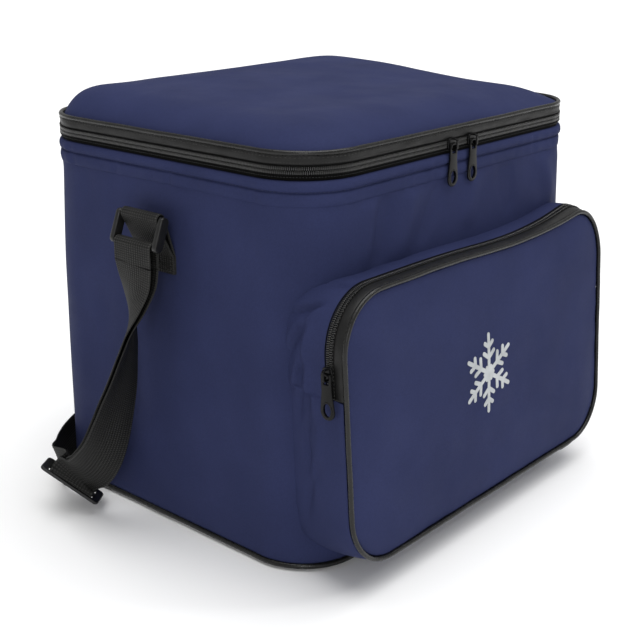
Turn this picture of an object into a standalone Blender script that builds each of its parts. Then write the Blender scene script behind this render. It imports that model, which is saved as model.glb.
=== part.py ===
"""Insulated cooler bag: a soft rounded box with a zipped lid, a zipped front pocket and a shoulder strap.

The origin is the middle of the flat base. +X is the bag's right seen from the front, +Y its back,
+Z up. The front pocket faces -Y. Every length is in metres.
"""

import math

import bmesh
import bpy
import numpy as np
from mathutils import Matrix, Vector

# Body
WIDTH = 0.340  # across the top hem
DEPTH = 0.285
CORNER = 0.047  # radius of the upright corners
HEM_TOP = 0.284
HEM_BOTTOM = 0.268
BASE_GROWTH = 0.033  # the base is this share wider than the hem
CORNER_STEPS = 6

# Layers of the wall, from the outside in
SHELL = 0.0012
FOAM = 0.0080
LINER = 0.0010
GAP = 0.0003
BASE_PANEL = 0.0030
BASE_BOARD = 0.0020

# Lid and its zip
LID_SEAM = 0.3002  # top of the black side band
LID_RISE = 0.0180  # the padded top stands this far above the seam
ZIP_BACK = 0.100  # the zip stops this far to each side of the middle of the back
CHAIN_WIDTH = 0.0020
CHAIN_DEPTH = 0.0020
CHAIN_GAP = 0.0016
PIPING_RADIUS = 0.0020
LID_SLIDER_X = {"left": -0.0175, "right": 0.0075}
LID_EDGE = 0.0032  # the lid's cloth starts this far in from the body's outline
LID_SHOULDER = 0.0120  # how quickly the padding rises behind the edge
LID_RINGS = (0.0032, 0.0065, 0.012, 0.020, 0.034, 0.044)

# Front pocket, in a frame of its own that leans back with its front panel
POCKET_X = -0.010
POCKET_BASE = (-0.1899, 0.022)  # Y and Z of the middle of the panel's lower edge
POCKET_LEAN = math.atan(0.066)
POCKET_HALF = 0.168
POCKET_HEIGHT = 0.1974
POCKET_CORNER = 0.043
POCKET_SPLIT = 0.1280  # height of the zip's two ends, where the panel folds open
POCKET_SLIDER_HEIGHT = 0.1460
PANEL_THICK = 0.0025
PANEL_DEPTH = 0.0004  # its face stands this far behind the piping's front
PIPE_INSET = 0.0022  # the piping's middle line, behind the front and in from the edge
POCKET_BAND = (0.0047, 0.0112)  # from here on depths behind the pocket's front: the black band,
FLAP_CHAIN = (0.0115, 0.0135)  # the flap's half of the zip,
POCKET_CHAIN = (0.0151, 0.0171)  # the pocket's half,
POCKET_CHAIN_INSET = (0.0024, 0.0008)  # inner and outer face of both halves, in from the edge
GUSSET_TOP, GUSSET_LOW = 0.0174, 0.0047  # the gusset's front edge behind the zip and below it
GUSSET_END = 0.085  # and its back edge, inside the body before it is trimmed
GUSSET_CLOTH = (0.0010, 0.0022)  # outer and inner face of the side wall, in from the edge

# Webbing, rings and tri-glide
WEBBING = 0.039
WEBBING_THICK = 0.0014
TAB_Y = 0.002
TAB_SEWN = (0.203, 0.216)  # the stretch of the tab that is sewn down
RING_BAR = (0.1855, 0.2455)  # distance from the middle plane, and height, of the ring's upper bar
RING_LOW_BAR = (0.1932, 0.2260)
RING_BAR_SIZE = 0.0038
RING_SIDE = 0.0042  # width of each side bar
RING_DEEP = 0.0078  # the side bars are this thick across the ring's plane
SIDE_PLAY = 0.0010  # between the webbing's edge and the ring's side
LOOP_RADIUS = 0.0036
LOOP_REACH = 0.0340  # the strap's turn round the ring ends this far from the ring's hinge
GLIDE_CENTRE = Vector((-0.2140, 0.0695, 0.0250))
GLIDE_ACROSS = Vector((-0.450, 0.694, 0.563)).normalized()
GLIDE_ALONG = Vector((0.73, 0.59, -0.144)).normalized()

NAVY = (0.040, 0.048, 0.105)
BLACK = (0.012, 0.012, 0.013)
SILVER = (0.60, 0.61, 0.63)
FOAM_WHITE = (0.75, 0.75, 0.76)


def clear_scene():
    for obj in list(bpy.data.objects):
        bpy.data.objects.remove(obj)


def new_collection(name):
    group = bpy.data.collections.new(name)
    bpy.context.scene.collection.children.link(group)
    return group


def finish(colour, roughness, metallic=0.0):
    """A plain material: colour, roughness and metallic value."""
    made = bpy.data.materials.new("finish")
    made.use_nodes = True
    shader = made.node_tree.nodes["Principled BSDF"]
    shader.inputs["Base Color"].default_value = (*colour, 1.0)
    shader.inputs["Roughness"].default_value = roughness
    shader.inputs["Metallic"].default_value = metallic
    return made


def place(name, data, look, parent=None):
    """One named sub-part in the bag's collection."""
    obj = bpy.data.objects.new(name, data)
    BAG.objects.link(obj)
    made = finish(*look)
    made.name = name
    obj.data.materials.append(made)
    obj.parent = parent
    return obj


def frame_at(name, location, rotation=(0, 0, 0), parent=None):
    """An empty that a moving or leaning group of sub-parts hangs on."""
    empty = bpy.data.objects.new(name, None)
    BAG.objects.link(empty)
    empty.location, empty.rotation_euler, empty.parent = location, rotation, parent
    return empty


def corner(centre_u, centre_v, radius, start):
    """A quarter turn, anticlockwise from the angle start in degrees."""
    angles = np.radians(np.linspace(start, start + 90, CORNER_STEPS + 1))
    return [(centre_u + radius * math.cos(a), centre_v + radius * math.sin(a)) for a in angles]


def rounded(half, low, high, radius, corners="ABCD"):
    """Corners of a rounded rectangle: A lower right, B upper right, C upper left, D lower left."""
    u, v = half - radius, (low + radius, high - radius)
    where = {"A": (u, v[0], -90), "B": (u, v[1], 0), "C": (-u, v[1], 90), "D": (-u, v[0], 180)}
    return [p for key in corners for p in corner(*where[key][:2], radius, where[key][2])]


def growth(z):
    return 1 + BASE_GROWTH * (1 - z / HEM_TOP)


def body_outline(z, inset, corners="ABCD"):
    """The bag's outline at height z, moved inwards by inset."""
    k = growth(min(z, HEM_TOP))
    half, deep = WIDTH / 2 * k - inset, DEPTH / 2 * k - inset
    points = rounded(half, -deep, deep, CORNER * k - inset, corners)
    return [(x, y, z) for x, y in points]


def zip_outline(z, inset):
    """The zip's open path: round both back corners, the sides and the front."""
    back = DEPTH / 2 - inset
    return [(-ZIP_BACK, back, z), *body_outline(z, inset, "CDAB"), (ZIP_BACK, back, z)]


def hinge_outline(z, inset):
    """The stretch of the back that has no zip."""
    back, half = DEPTH / 2 - inset, ZIP_BACK - 0.0006
    return [(half, back, z), (0, back, z), (-half, back, z)]


def flap_outline(depth, inset):
    """The upper part of the pocket's outline, between the zip's ends."""
    side, low = POCKET_HALF - inset, POCKET_SPLIT + 0.0004
    top = rounded(side, inset, POCKET_HEIGHT - inset, POCKET_CORNER - inset, "BC")
    return [(x, depth, z) for x, z in [(side, low), *top, (-side, low)]]


def lower_outline(depth, inset):
    """The lower part of the pocket's outline, below the zip's ends."""
    side, high = POCKET_HALF - inset, POCKET_SPLIT - 0.0004
    base = rounded(side, inset, POCKET_HEIGHT - inset, POCKET_CORNER - inset, "DA")
    return [(x, depth, z) for x, z in [(-side, high), *base, (side, high)]]


def loft(rows, closed_rows=True, closed_stack=False, cap_first=False, cap_last=False):
    """A mesh through rows of points of equal number."""
    mesh = bpy.data.meshes.new("loft")
    shape = bmesh.new()
    grid = [[shape.verts.new(p) for p in row] for row in rows]
    count = len(grid[0])
    pairs = list(zip(grid, grid[1:])) + ([(grid[-1], grid[0])] if closed_stack else [])
    for a, b in pairs:
        for i in range(count if closed_rows else count - 1):
            j = (i + 1) % count
            shape.faces.new((a[i], a[j], b[j], b[i]))
    if cap_first:
        shape.faces.new(grid[0][::-1])
    if cap_last:
        shape.faces.new(grid[-1])
    if closed_stack and not closed_rows:
        shape.faces.new([row[0] for row in grid])
        shape.faces.new([row[-1] for row in grid])
        bmesh.ops.recalc_face_normals(shape, faces=shape.faces)
    elif closed_stack:
        bmesh.ops.recalc_face_normals(shape, faces=shape.faces)
    shape.to_mesh(mesh)
    shape.free()
    return mesh


def shade(obj, angle=35):
    obj.data.shade_smooth()
    obj.data.set_sharp_from_angle(angle=math.radians(angle))
    return obj


def band(name, outline, profile, look, closed=True, parent=None):
    """A closed profile of (inset, height) swept round an outline."""
    rows = [outline(height, inset) for inset, height in profile]
    return shade(place(name, loft(rows, closed, closed_stack=True), look, parent))


def solidify(obj, thickness, offset=-1.0):
    thick = obj.modifiers.new("thickness", "SOLIDIFY")
    thick.thickness, thick.offset = thickness, offset
    thick.use_even_offset = True
    return obj


def rectangle(inset, outer, low, high):
    """The profile of a band between two insets and two heights."""
    return [(outer, low), (outer, high), (inset, high), (inset, low)]


def plate(name, low, high, inset, look, parent=None):
    """A flat plate with the body's outline."""
    rows = [body_outline(low, inset), body_outline(high, inset)]
    return shade(place(name, loft(rows, cap_first=True, cap_last=True), look, parent))


def tube(name, points, radius, look, closed=False, parent=None):
    """A round cord of fabric or plastic along a line of points."""
    curve = bpy.data.curves.new(name, "CURVE")
    curve.dimensions, curve.bevel_depth = "3D", radius
    curve.bevel_resolution, curve.use_fill_caps = 2, not closed
    line = curve.splines.new("POLY")
    line.points.add(len(points) - 1)
    for node, p in zip(line.points, points):
        node.co = (*p, 1.0)
    line.use_cyclic_u = closed
    return place(name, curve, look, parent)


def sheet_of(outlines, thickness):
    """A flat 2D curve, its outlines' holes left open, thickness thick."""
    curve = bpy.data.curves.new("sheet", "CURVE")
    curve.dimensions, curve.fill_mode, curve.extrude = "2D", "BOTH", thickness / 2
    for points in outlines:
        line = curve.splines.new("POLY")
        line.points.add(len(points) - 1)
        for node, (u, v) in zip(line.points, points):
            node.co = (u, v, 0.0, 1.0)
        line.use_cyclic_u = True
    return curve


def ribbon(name, route, thickness, look, parent=None):
    """A webbing strip: route gives the middle and the direction across it at each place."""
    half = WEBBING / 2
    rows = [[p - w * half, p, p + w * half] for p, w in route]
    obj = place(name, loft(rows, closed_rows=False), look, parent)
    return solidify(obj, thickness, offset=0.0)


def smooth_route(stations, spacing):
    """Points about spacing apart on a smooth curve through the stations, each with its direction across."""
    made = []
    for i in range(len(stations) - 1):
        around = [stations[min(max(k, 0), len(stations) - 1)] for k in (i - 1, i, i + 1, i + 2)]
        span = (around[2][0] - around[1][0]).length
        steps = max(1, round(span / spacing))
        for k in range(steps):
            made.append(between(around, k / steps))
    made.append(stations[-1])
    return made


def between(around, t):
    """A Catmull-Rom step between the two middle stations."""
    weights = (
        (-t + 2 * t * t - t**3) / 2,
        (2 - 5 * t * t + 3 * t**3) / 2,
        (t + 4 * t * t - 3 * t**3) / 2,
        (t**3 - t * t) / 2,
    )
    point = sum((s[0] * w for s, w in zip(around, weights)), Vector())
    across = sum((s[1] * w for s, w in zip(around, weights)), Vector())
    return point, across.normalized()


def unite(name, pieces, look, parent=None):
    """One body made of touching pieces."""
    first, *others = pieces
    for other in others:
        cut(first, other, "UNION")
    shape = bpy.data.meshes.new_from_object(first.evaluated_get(bpy.context.evaluated_depsgraph_get()))
    for piece in pieces:
        bpy.data.objects.remove(piece)
    return shade(place(name, shape, look, parent))


def cut(obj, cutter, operation="DIFFERENCE"):
    step = obj.modifiers.new("cut", "BOOLEAN")
    step.operation, step.object, step.solver = operation, cutter, "EXACT"
    return obj


def block(size, centre):
    """A loose box to be united with others."""
    mesh = bpy.data.meshes.new("block")
    shape = bmesh.new()
    bmesh.ops.create_cube(shape, size=1.0)
    bmesh.ops.scale(shape, vec=size, verts=shape.verts)
    bmesh.ops.translate(shape, vec=centre, verts=shape.verts)
    shape.to_mesh(mesh)
    shape.free()
    obj = bpy.data.objects.new("block", mesh)
    CUTTERS.objects.link(obj)
    return obj


def build_base():
    inset = 0.0046
    plate("base_panel", 0.0, BASE_PANEL, inset, (NAVY, 0.8))
    plate("base_board", BASE_PANEL + GAP, BASE_PANEL + GAP + BASE_BOARD, inset, (BLACK, 0.7))
    ring = body_outline(0.0040, 0.0022)
    tube("base_piping", ring, 0.0018, (BLACK, 0.5), closed=True)


def build_wall():
    bottom = 0.0062
    inner = SHELL + GAP
    rows = [body_outline(z, 0) for z in (bottom, 0.10, 0.19, HEM_BOTTOM - GAP)]
    shade(solidify(place("outer_shell", loft(rows), (NAVY, 0.75)), SHELL))
    floor = bottom + FOAM
    plate("base_foam", bottom, floor, inner + GAP, (FOAM_WHITE, 0.9))
    rows = [body_outline(z, inner) for z in (floor + GAP, 0.13, HEM_BOTTOM - GAP)]
    shade(solidify(place("wall_foam", loft(rows), (FOAM_WHITE, 0.9)), FOAM))
    inner += FOAM + GAP
    rows = [body_outline(z, inner) for z in (floor + GAP, 0.13, HEM_TOP - GAP)]
    liner = place("inner_liner", loft(rows, cap_first=True), (SILVER, 0.35, 0.6))
    shade(solidify(liner, LINER))


def build_hem():
    """The padded rim of folded shell fabric that carries the zip."""
    inner = SHELL + FOAM + GAP
    outside = [(0.9, 0.0), (-0.5, 0.08), (-1.2, 0.30), (-1.2, 0.70), (-0.5, 0.94), (0.6, 1.0)]
    height = HEM_TOP - HEM_BOTTOM
    profile = [(mm / 1000, HEM_BOTTOM + share * height) for mm, share in outside]
    band("top_hem", body_outline, profile + [(inner, HEM_TOP), (inner, HEM_BOTTOM)], (NAVY, 0.75))


def chain_levels():
    """Bottom and top of the body's and of the lid's half of the zip's chain."""
    low = HEM_TOP + 0.0042
    high = low + CHAIN_WIDTH + CHAIN_GAP
    return (low, low + CHAIN_WIDTH), (high, high + CHAIN_WIDTH)


def build_lid_zip():
    (low, mid_low), (mid_high, high) = chain_levels()
    tape = rectangle(0.0016, 0.0006, HEM_TOP + GAP, low - GAP)
    band("body_zip_tape", zip_outline, tape, (BLACK, 0.8), closed=False)
    chain = (0.0016, 0.0016 - CHAIN_DEPTH)
    band("body_zip_chain", zip_outline, rectangle(*chain, low, mid_low), (BLACK, 0.4), closed=False)
    band("lid_zip_chain", zip_outline, rectangle(*chain, mid_high, high), (BLACK, 0.4), closed=False)
    strip = rectangle(0.0016, 0.0006, HEM_TOP + GAP, high - GAP)
    band("back_hinge_strip", hinge_outline, strip, (BLACK, 0.8), closed=False)


def build_lid():
    band_low = chain_levels()[1][1] + GAP
    side = rectangle(0.0012, 0.0, band_low, LID_SEAM - 0.0003)
    band("lid_side_band", body_outline, side, (BLACK, 0.6))
    piping_z = LID_SEAM + PIPING_RADIUS
    tube("lid_piping", body_outline(piping_z, 0.0008), PIPING_RADIUS, (BLACK, 0.45), closed=True)
    plate("lid_liner", band_low, band_low + LINER, 0.0016, (SILVER, 0.35, 0.6))
    plate("lid_foam", band_low + LINER + GAP, LID_SEAM - 0.0010, 0.0016, (FOAM_WHITE, 0.9))
    build_lid_panel(piping_z)


def build_lid_panel(edge):
    """The padded top: steep at its edge, nearly flat in the middle."""
    rows = []
    for inset in LID_RINGS:
        share = 1 - math.exp(-(inset - LID_EDGE) / LID_SHOULDER)
        rows.append(body_outline(edge - 0.0005 + LID_RISE * share, inset))
    middle = edge - 0.0005 + LID_RISE * 1.03
    for share in (0.62, 0.25):
        rows.append([(x * share, y * share, middle) for x, y, _ in rows[len(LID_RINGS) - 1]])
    panel = place("lid_panel", loft(rows, cap_last=True), (NAVY, 0.7))
    shade(solidify(panel, SHELL))


def build_slider(name, parent, chain_outer, chain_inner, clearance, upright, look):
    """A zip slider in its own frame: Y into the bag, Z up, its zip along Z if upright and along X if not.

    Two plates hold the chain between them, a post stands in the gap between the chain's halves, and a
    bridge on the outer plate carries the pull. The answer is the depth of the pull's hinge.
    """
    outer, inner, thick = chain_outer - clearance, chain_inner + clearance, 0.0012
    long, broad, narrow, blade = 0.0096, 0.0086, 0.0052, (0.0030, 0.0010)
    turn = -1 if upright else 1
    wide, tall = (long, broad)[::turn]
    back_wide, back_tall = (long * 0.6, narrow)[::turn]
    post = blade[::turn]
    bar, rise, reach = 0.0009, 0.0034, 0.0035  # the bridge: its thickness, its legs, where they stand
    top = outer - thick - rise + 0.0002
    pieces = [
        block((wide, thick, tall), (0, outer - thick / 2, 0)),
        block((back_wide, thick, back_tall), (0, inner + thick / 2, 0)),
        block((post[0], inner - outer + thick, post[1]), (0, (inner + outer) / 2, 0)),
        block((0.0018, bar, 2 * reach + bar), (0, top + bar / 2, 0)),
        block((0.0018, rise, bar), (0, top + rise / 2, -reach)),
        block((0.0018, rise, bar), (0, top + rise / 2, reach)),
    ]
    unite(name, pieces, look, parent)
    return outer - thick - 0.0013


def build_pull(name, parent, look):
    """A flat pull tab hanging from its eye: X across, Z up, its hinge at its own origin."""
    wide, neck, long, eye = 0.0058, 0.0042, 0.0310, 0.0006
    top = [(-neck, eye), (-neck, -0.0080), (-wide, -0.0200)]
    foot = [
        (wide * math.cos(a), -long + wide + wide * math.sin(a))
        for a in np.radians(np.linspace(180, 360, 9))
    ]
    outline = top + foot + [(-x, z) for x, z in reversed(top)]
    window = [(-0.0022, -eye), (0.0022, -eye), (0.0022, -0.0064), (-0.0022, -0.0064)]
    hole = [
        (0.0031 * math.cos(a), -0.0238 + 0.0045 * math.sin(a))
        for a in np.radians(np.arange(0, 360, 36))
    ]
    pull = place(name, sheet_of([outline, window, hole], 0.0012), look, parent)
    pull.rotation_euler = (math.pi / 2, 0, 0)
    return pull


def build_lid_sliders():
    (_, mid_low), (mid_high, _) = chain_levels()
    look = (BLACK, 0.35, 0.3)
    for side, x in LID_SLIDER_X.items():
        frame = frame_at(f"lid_slider_{side}_frame", (x, -DEPTH / 2, (mid_low + mid_high) / 2))
        out = build_slider(f"lid_slider_{side}", frame, -0.0004, 0.0016, 0.0004, False, look)
        hinge = frame_at(f"lid_pull_{side}_hinge", (0, out, 0), parent=frame)
        build_pull(f"lid_pull_{side}", hinge, look)


def body_cutter():
    """The body's outer form, a little larger, which trims the pocket where it is sewn on."""
    rows = [body_outline(z, -0.0005) for z in (-0.02, 0.14, HEM_TOP)]
    cutter = bpy.data.objects.new("body_form", loft(rows, cap_first=True, cap_last=True))
    CUTTERS.objects.link(cutter)
    cutter.hide_render, cutter.display_type = True, "WIRE"
    return cutter


def gusset_rows(inset):
    """Front and back edge of the pocket's side wall; the front steps back where the zip runs."""
    side, split = POCKET_HALF - inset, POCKET_SPLIT
    outline = rounded(side, inset, POCKET_HEIGHT - inset, POCKET_CORNER - inset, "DA")
    step = [(side, split - 0.0004), (side, split + 0.0004)]
    top = rounded(side, inset, POCKET_HEIGHT - inset, POCKET_CORNER - inset, "BC")
    path = outline + step + top + [(-x, z) for x, z in reversed(step)]
    front = [(x, GUSSET_TOP if z > split else GUSSET_LOW, z) for x, z in path]
    narrow = 1 - 0.0115 / POCKET_HALF
    back = [(x * narrow + 0.005, GUSSET_END, z * 1.030 - 0.0030) for x, z in path]
    return front, back


def build_pocket_walls(frame):
    outer, inner = (gusset_rows(inset) for inset in GUSSET_CLOTH)
    rows = [outer[0], outer[1], inner[1], inner[0]]
    gusset = place("pocket_gusset", loft(rows, closed_stack=True), (NAVY, 0.75), frame)
    shade(cut(gusset, body_cutter()))
    cloth = rectangle(*GUSSET_CLOTH[::-1], *POCKET_BAND)
    band("pocket_zip_band", flap_outline, cloth, (BLACK, 0.6), closed=False, parent=frame)
    for name, (near, far) in (("flap_zip_chain", FLAP_CHAIN), ("pocket_zip_chain", POCKET_CHAIN)):
        section = rectangle(*POCKET_CHAIN_INSET, near, far)
        band(name, flap_outline, section, (BLACK, 0.4), closed=False, parent=frame)


def build_pocket_panel(frame):
    """The front panel and its piping, each in a fixed lower and an opening upper part."""
    for name, outline in (("pocket_flap", flap_outline), ("pocket_front", lower_outline)):
        points = [(x, z) for x, _, z in outline(0, GUSSET_LOW)]
        panel = place(f"{name}_panel", sheet_of([points], PANEL_THICK), (NAVY, 0.75), frame)
        panel.location = (0, PANEL_DEPTH + PANEL_THICK / 2, 0)
        panel.rotation_euler = (math.pi / 2, 0, 0)
        tube(f"{name}_piping", outline(PIPE_INSET, PIPE_INSET), PIPING_RADIUS, (BLACK, 0.45), parent=frame)


def build_pocket_slider(frame):
    look = (BLACK, 0.35, 0.3)
    zip_depth = (FLAP_CHAIN[0] + POCKET_CHAIN[1]) / 2
    place_at = (-POCKET_HALF, zip_depth, POCKET_SLIDER_HEIGHT)
    slider = frame_at("pocket_slider_frame", place_at, (0, 0, -math.pi / 2), frame)
    out = build_slider("pocket_slider", slider, *POCKET_CHAIN_INSET[::-1], 0.0011, True, look)
    hinge = frame_at("pocket_pull_hinge", (0, out, 0), parent=slider)
    build_pull("pocket_pull", hinge, look)


def build_pocket():
    y, z = POCKET_BASE
    frame = frame_at("pocket_frame", (POCKET_X, y, z), (-POCKET_LEAN, 0, 0))
    build_pocket_walls(frame)
    build_pocket_panel(frame)
    build_pocket_slider(frame)


def turn_round(bar, side, start, end, steps=8):
    """Webbing turning round a ring's bar, in the plane across the bar."""
    centre_x, centre_z = bar
    angles = np.radians(np.linspace(start, end, steps + 1))
    turn = [
        (centre_x + LOOP_RADIUS * math.cos(a), centre_z + LOOP_RADIUS * math.sin(a)) for a in angles
    ]
    return [Vector((side * x, TAB_Y, z)) for x, z in turn]


def build_tab(side, word):
    """The webbing tab: sewn down at its foot, folded over the ring's upper bar."""
    across = Vector((0, 1, 0))
    low, high = TAB_SEWN
    wall = WIDTH / 2 * growth(low) + 0.0011
    inner = [Vector((side * (wall), TAB_Y, z)) for z in (low, high)]
    outer = [Vector((side * (wall + 0.0018), TAB_Y, z)) for z in (high, low)]
    lean = math.degrees(math.atan2(RING_BAR[0] - wall, RING_BAR[1] - high))
    fold = turn_round(RING_BAR, side, 180 - lean, -lean)
    ribbon(f"side_tab_{word}", [(p, across) for p in inner + fold + outer], WEBBING_THICK, (BLACK, 0.85))


def build_ring(side, word):
    """A rectangular ring, two slim bars between two deep sides, with its hinge on the upper bar."""
    span = math.dist(RING_BAR, RING_LOW_BAR)
    reach = WEBBING / 2 + SIDE_PLAY + RING_SIDE
    lean = math.atan2(RING_LOW_BAR[0] - RING_BAR[0], RING_BAR[1] - RING_LOW_BAR[1])
    hinge = frame_at(f"ring_{word}_hinge", (side * RING_BAR[0], TAB_Y, RING_BAR[1]), (0, side * -lean, 0))
    bars = [block((RING_BAR_SIZE, 2 * reach - GAP, RING_BAR_SIZE), (0, 0, z)) for z in (0, -span)]
    tall = span + RING_BAR_SIZE + 2 * GAP
    ends = (reach - RING_SIDE / 2, RING_SIDE / 2 - reach)
    sides = [block((RING_DEEP, RING_SIDE, tall), (0, y, -span / 2)) for y in ends]
    unite(f"strap_ring_{word}", bars + sides, (BLACK, 0.4), hinge)
    turn = turn_round(RING_LOW_BAR, side, 0, 180)
    feet = []
    for x in (RING_LOW_BAR[0] + LOOP_RADIUS, RING_LOW_BAR[0] - LOOP_RADIUS):
        drop = math.sqrt(LOOP_REACH**2 - (x - RING_BAR[0]) ** 2)
        feet.append(Vector((side * x, TAB_Y, RING_BAR[1] - drop)))
    across = Vector((0, 1, 0))
    route = [(p, across) for p in [feet[0], *turn, feet[1]]]
    ribbon(f"strap_turn_{word}", route, WEBBING_THICK, (BLACK, 0.85))


def heading(degrees, rise=0.0):
    """A direction across the strap, from its compass angle and its rise."""
    flat = math.sqrt(1 - rise * rise)
    angle = math.radians(degrees)
    return Vector((flat * math.cos(angle), flat * math.sin(angle), rise))


def glide_point(along, up):
    """A place on the tri-glide's middle line."""
    normal = GLIDE_ALONG.cross(GLIDE_ACROSS).normalized()
    if normal.z < 0:
        normal = -normal
    return GLIDE_CENTRE + GLIDE_ALONG * along + normal * up


def strap_start(side, inner):
    """Where the strap leaves its turn round the ring."""
    x = RING_LOW_BAR[0] + (-LOOP_RADIUS if inner else LOOP_RADIUS)
    drop = math.sqrt((LOOP_REACH + 0.0010) ** 2 - (x - RING_BAR[0]) ** 2)
    return Vector((side * x, TAB_Y, RING_BAR[1] - drop))


def hanging_stations():
    """The strap's hanging stretch on the left, from the ring to above the tri-glide."""
    return [
        (strap_start(-1, True), heading(90)),
        (Vector((-0.1897, 0.0022, 0.197)), heading(82)),
        (Vector((-0.1925, 0.0032, 0.182)), heading(66)),
        (Vector((-0.1960, 0.0052, 0.166)), heading(47)),
        (Vector((-0.1990, 0.0068, 0.150)), heading(34)),
        (Vector((-0.2025, 0.0100, 0.130)), heading(22)),
        (Vector((-0.2050, 0.0150, 0.110)), heading(9)),
        (Vector((-0.2080, 0.0205, 0.090)), heading(-1, -0.04)),
        (Vector((-0.2110, 0.0270, 0.070)), heading(-12, -0.14)),
        (Vector((-0.2135, 0.0370, 0.052)), heading(-30, -0.30)),
        (Vector((-0.2140, 0.0500, 0.0385)), heading(-47, -0.46)),
    ]


def trailing_stations():
    """The strap's stretch behind the bag, from the tri-glide round to the right ring."""
    on_edge = Vector((0, 0, -1))
    return [
        (Vector((-0.2020, 0.0960, 0.0245)), Vector((0.22, -0.42, -0.88)).normalized()),
        (Vector((-0.1950, 0.1120, 0.0205)), Vector((0.05, -0.10, -0.99)).normalized()),
        (Vector((-0.1820, 0.1270, 0.0200)), on_edge),
        (Vector((-0.1640, 0.1400, 0.0200)), on_edge),
        (Vector((-0.1400, 0.1510, 0.0200)), on_edge),
        (Vector((-0.0900, 0.1570, 0.0200)), on_edge),
        (Vector((-0.0300, 0.1580, 0.0200)), on_edge),
        (Vector((0.0300, 0.1575, 0.0200)), on_edge),
        (Vector((0.0900, 0.1580, 0.0205)), on_edge),
        (Vector((0.1380, 0.1560, 0.0235)), on_edge),
        (Vector((0.1690, 0.1420, 0.0310)), Vector((0, -0.10, -0.99)).normalized()),
        (Vector((0.1870, 0.1160, 0.0460)), Vector((0, -0.30, -0.95)).normalized()),
        (Vector((0.1950, 0.0860, 0.0700)), Vector((0, -0.55, -0.83)).normalized()),
        (Vector((0.1965, 0.0560, 0.1050)), Vector((0, -0.78, -0.62)).normalized()),
        (Vector((0.1950, 0.0310, 0.1450)), Vector((0, -0.92, -0.39)).normalized()),
        (Vector((0.1920, 0.0120, 0.1820)), Vector((0, -0.98, -0.18)).normalized()),
        (strap_start(1, True), Vector((0, -1, 0))),
    ]


def glide_stations():
    """The strap going down one slot of the tri-glide, under its middle bar and up the other."""
    across = -GLIDE_ACROSS
    places = [(-0.0060, 0.0080), (-0.0051, 0.0), (-0.0026, -0.0032), (0.0026, -0.0032)]
    places += [(0.0050, 0.0), (0.0064, 0.0062), (0.0110, 0.0092)]
    return [(glide_point(*at), across) for at in places]


def build_strap():
    route = hanging_stations() + glide_stations() + trailing_stations()
    ribbon("shoulder_strap", smooth_route(route, 0.012), WEBBING_THICK, (BLACK, 0.85))
    doubled = []
    apart = [2 * LOOP_RADIUS, 0.0060, 0.0045, 0.0034, *[0.0030] * 6, 0.0034]
    hanging = hanging_stations()
    for i, ((point, across), gap) in enumerate(zip(hanging, apart)):
        ahead = hanging[min(i + 1, len(hanging) - 1)][0] - hanging[max(i - 1, 0)][0]
        doubled.append((point + across.cross(ahead).normalized() * gap, across))
    doubled[0] = (strap_start(-1, False), heading(90))
    ribbon("strap_sewn_end", smooth_route(doubled, 0.012), WEBBING_THICK, (BLACK, 0.85))
    strap_end = strap_start(1, False)
    drops = ((0, 0, 0), (-0.0002, 0, -0.012), (-0.0022, 0.002, -0.028))
    tail = [(strap_end + Vector(drop), Vector((0, 1, 0))) for drop in drops]
    ribbon("strap_fold_right", tail, WEBBING_THICK, (BLACK, 0.85))


def build_tri_glide():
    """A flat buckle of three bars; its own X is across the strap and its own Y along it."""
    half_x, half_y, bar = 0.0265, 0.0125, 0.0032
    slot = (WEBBING / 2 + 0.0008, bar / 2, half_y - bar)
    outer = rounded(half_x, -half_y, half_y, 0.004)
    slots = [rounded(slot[0], low, high, 0.001) for low, high in (slot[1:], (-slot[2], -slot[1]))]
    glide = place("tri_glide", sheet_of([outer, *slots], 0.0024), (BLACK, 0.35))
    normal = GLIDE_ACROSS.cross(GLIDE_ALONG).normalized()
    along = normal.cross(GLIDE_ACROSS)
    axes = [GLIDE_ACROSS, along, normal]
    glide.matrix_world = Matrix.Translation(GLIDE_CENTRE) @ Matrix(axes).transposed().to_4x4()


def build_webbing():
    for side, word in ((-1, "left"), (1, "right")):
        build_tab(side, word)
        build_ring(side, word)
    build_strap()
    build_tri_glide()


def main():
    build_base()
    build_wall()
    build_hem()
    build_lid_zip()
    build_lid()
    build_lid_sliders()
    build_pocket()
    build_webbing()


clear_scene()
BAG = new_collection("cooler_bag")
CUTTERS = new_collection("cutters")
main()
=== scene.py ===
import math

import bmesh
import bpy
import numpy as np
from mathutils import Matrix, Vector, noise
from mathutils.bvhtree import BVHTree


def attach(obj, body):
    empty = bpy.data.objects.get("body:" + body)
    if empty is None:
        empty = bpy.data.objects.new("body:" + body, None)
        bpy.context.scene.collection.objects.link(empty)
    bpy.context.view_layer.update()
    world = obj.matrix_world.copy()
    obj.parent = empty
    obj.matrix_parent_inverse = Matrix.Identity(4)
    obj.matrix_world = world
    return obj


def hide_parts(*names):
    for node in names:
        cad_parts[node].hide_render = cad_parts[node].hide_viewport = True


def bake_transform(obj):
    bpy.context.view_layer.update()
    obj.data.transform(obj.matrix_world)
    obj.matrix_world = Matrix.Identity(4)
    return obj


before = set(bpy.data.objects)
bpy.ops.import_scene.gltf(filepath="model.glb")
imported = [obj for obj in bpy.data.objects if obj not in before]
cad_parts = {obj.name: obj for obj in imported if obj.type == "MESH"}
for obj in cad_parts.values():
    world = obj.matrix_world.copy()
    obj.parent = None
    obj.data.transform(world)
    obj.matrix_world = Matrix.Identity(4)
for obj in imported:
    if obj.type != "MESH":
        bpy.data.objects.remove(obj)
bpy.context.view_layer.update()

# The looks of the insulated cooler bag. Lengths are in metres, in the CAD model's frame: the origin is the
# middle of the base, +X the bag's right, +Y its back, +Z up. The sizes here repeat the CAD model's.
WIDTH, DEPTH, CORNER = 0.340, 0.285, 0.047
PERIMETER = 2 * (WIDTH + DEPTH) - (8 - 2 * math.pi) * CORNER
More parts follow.
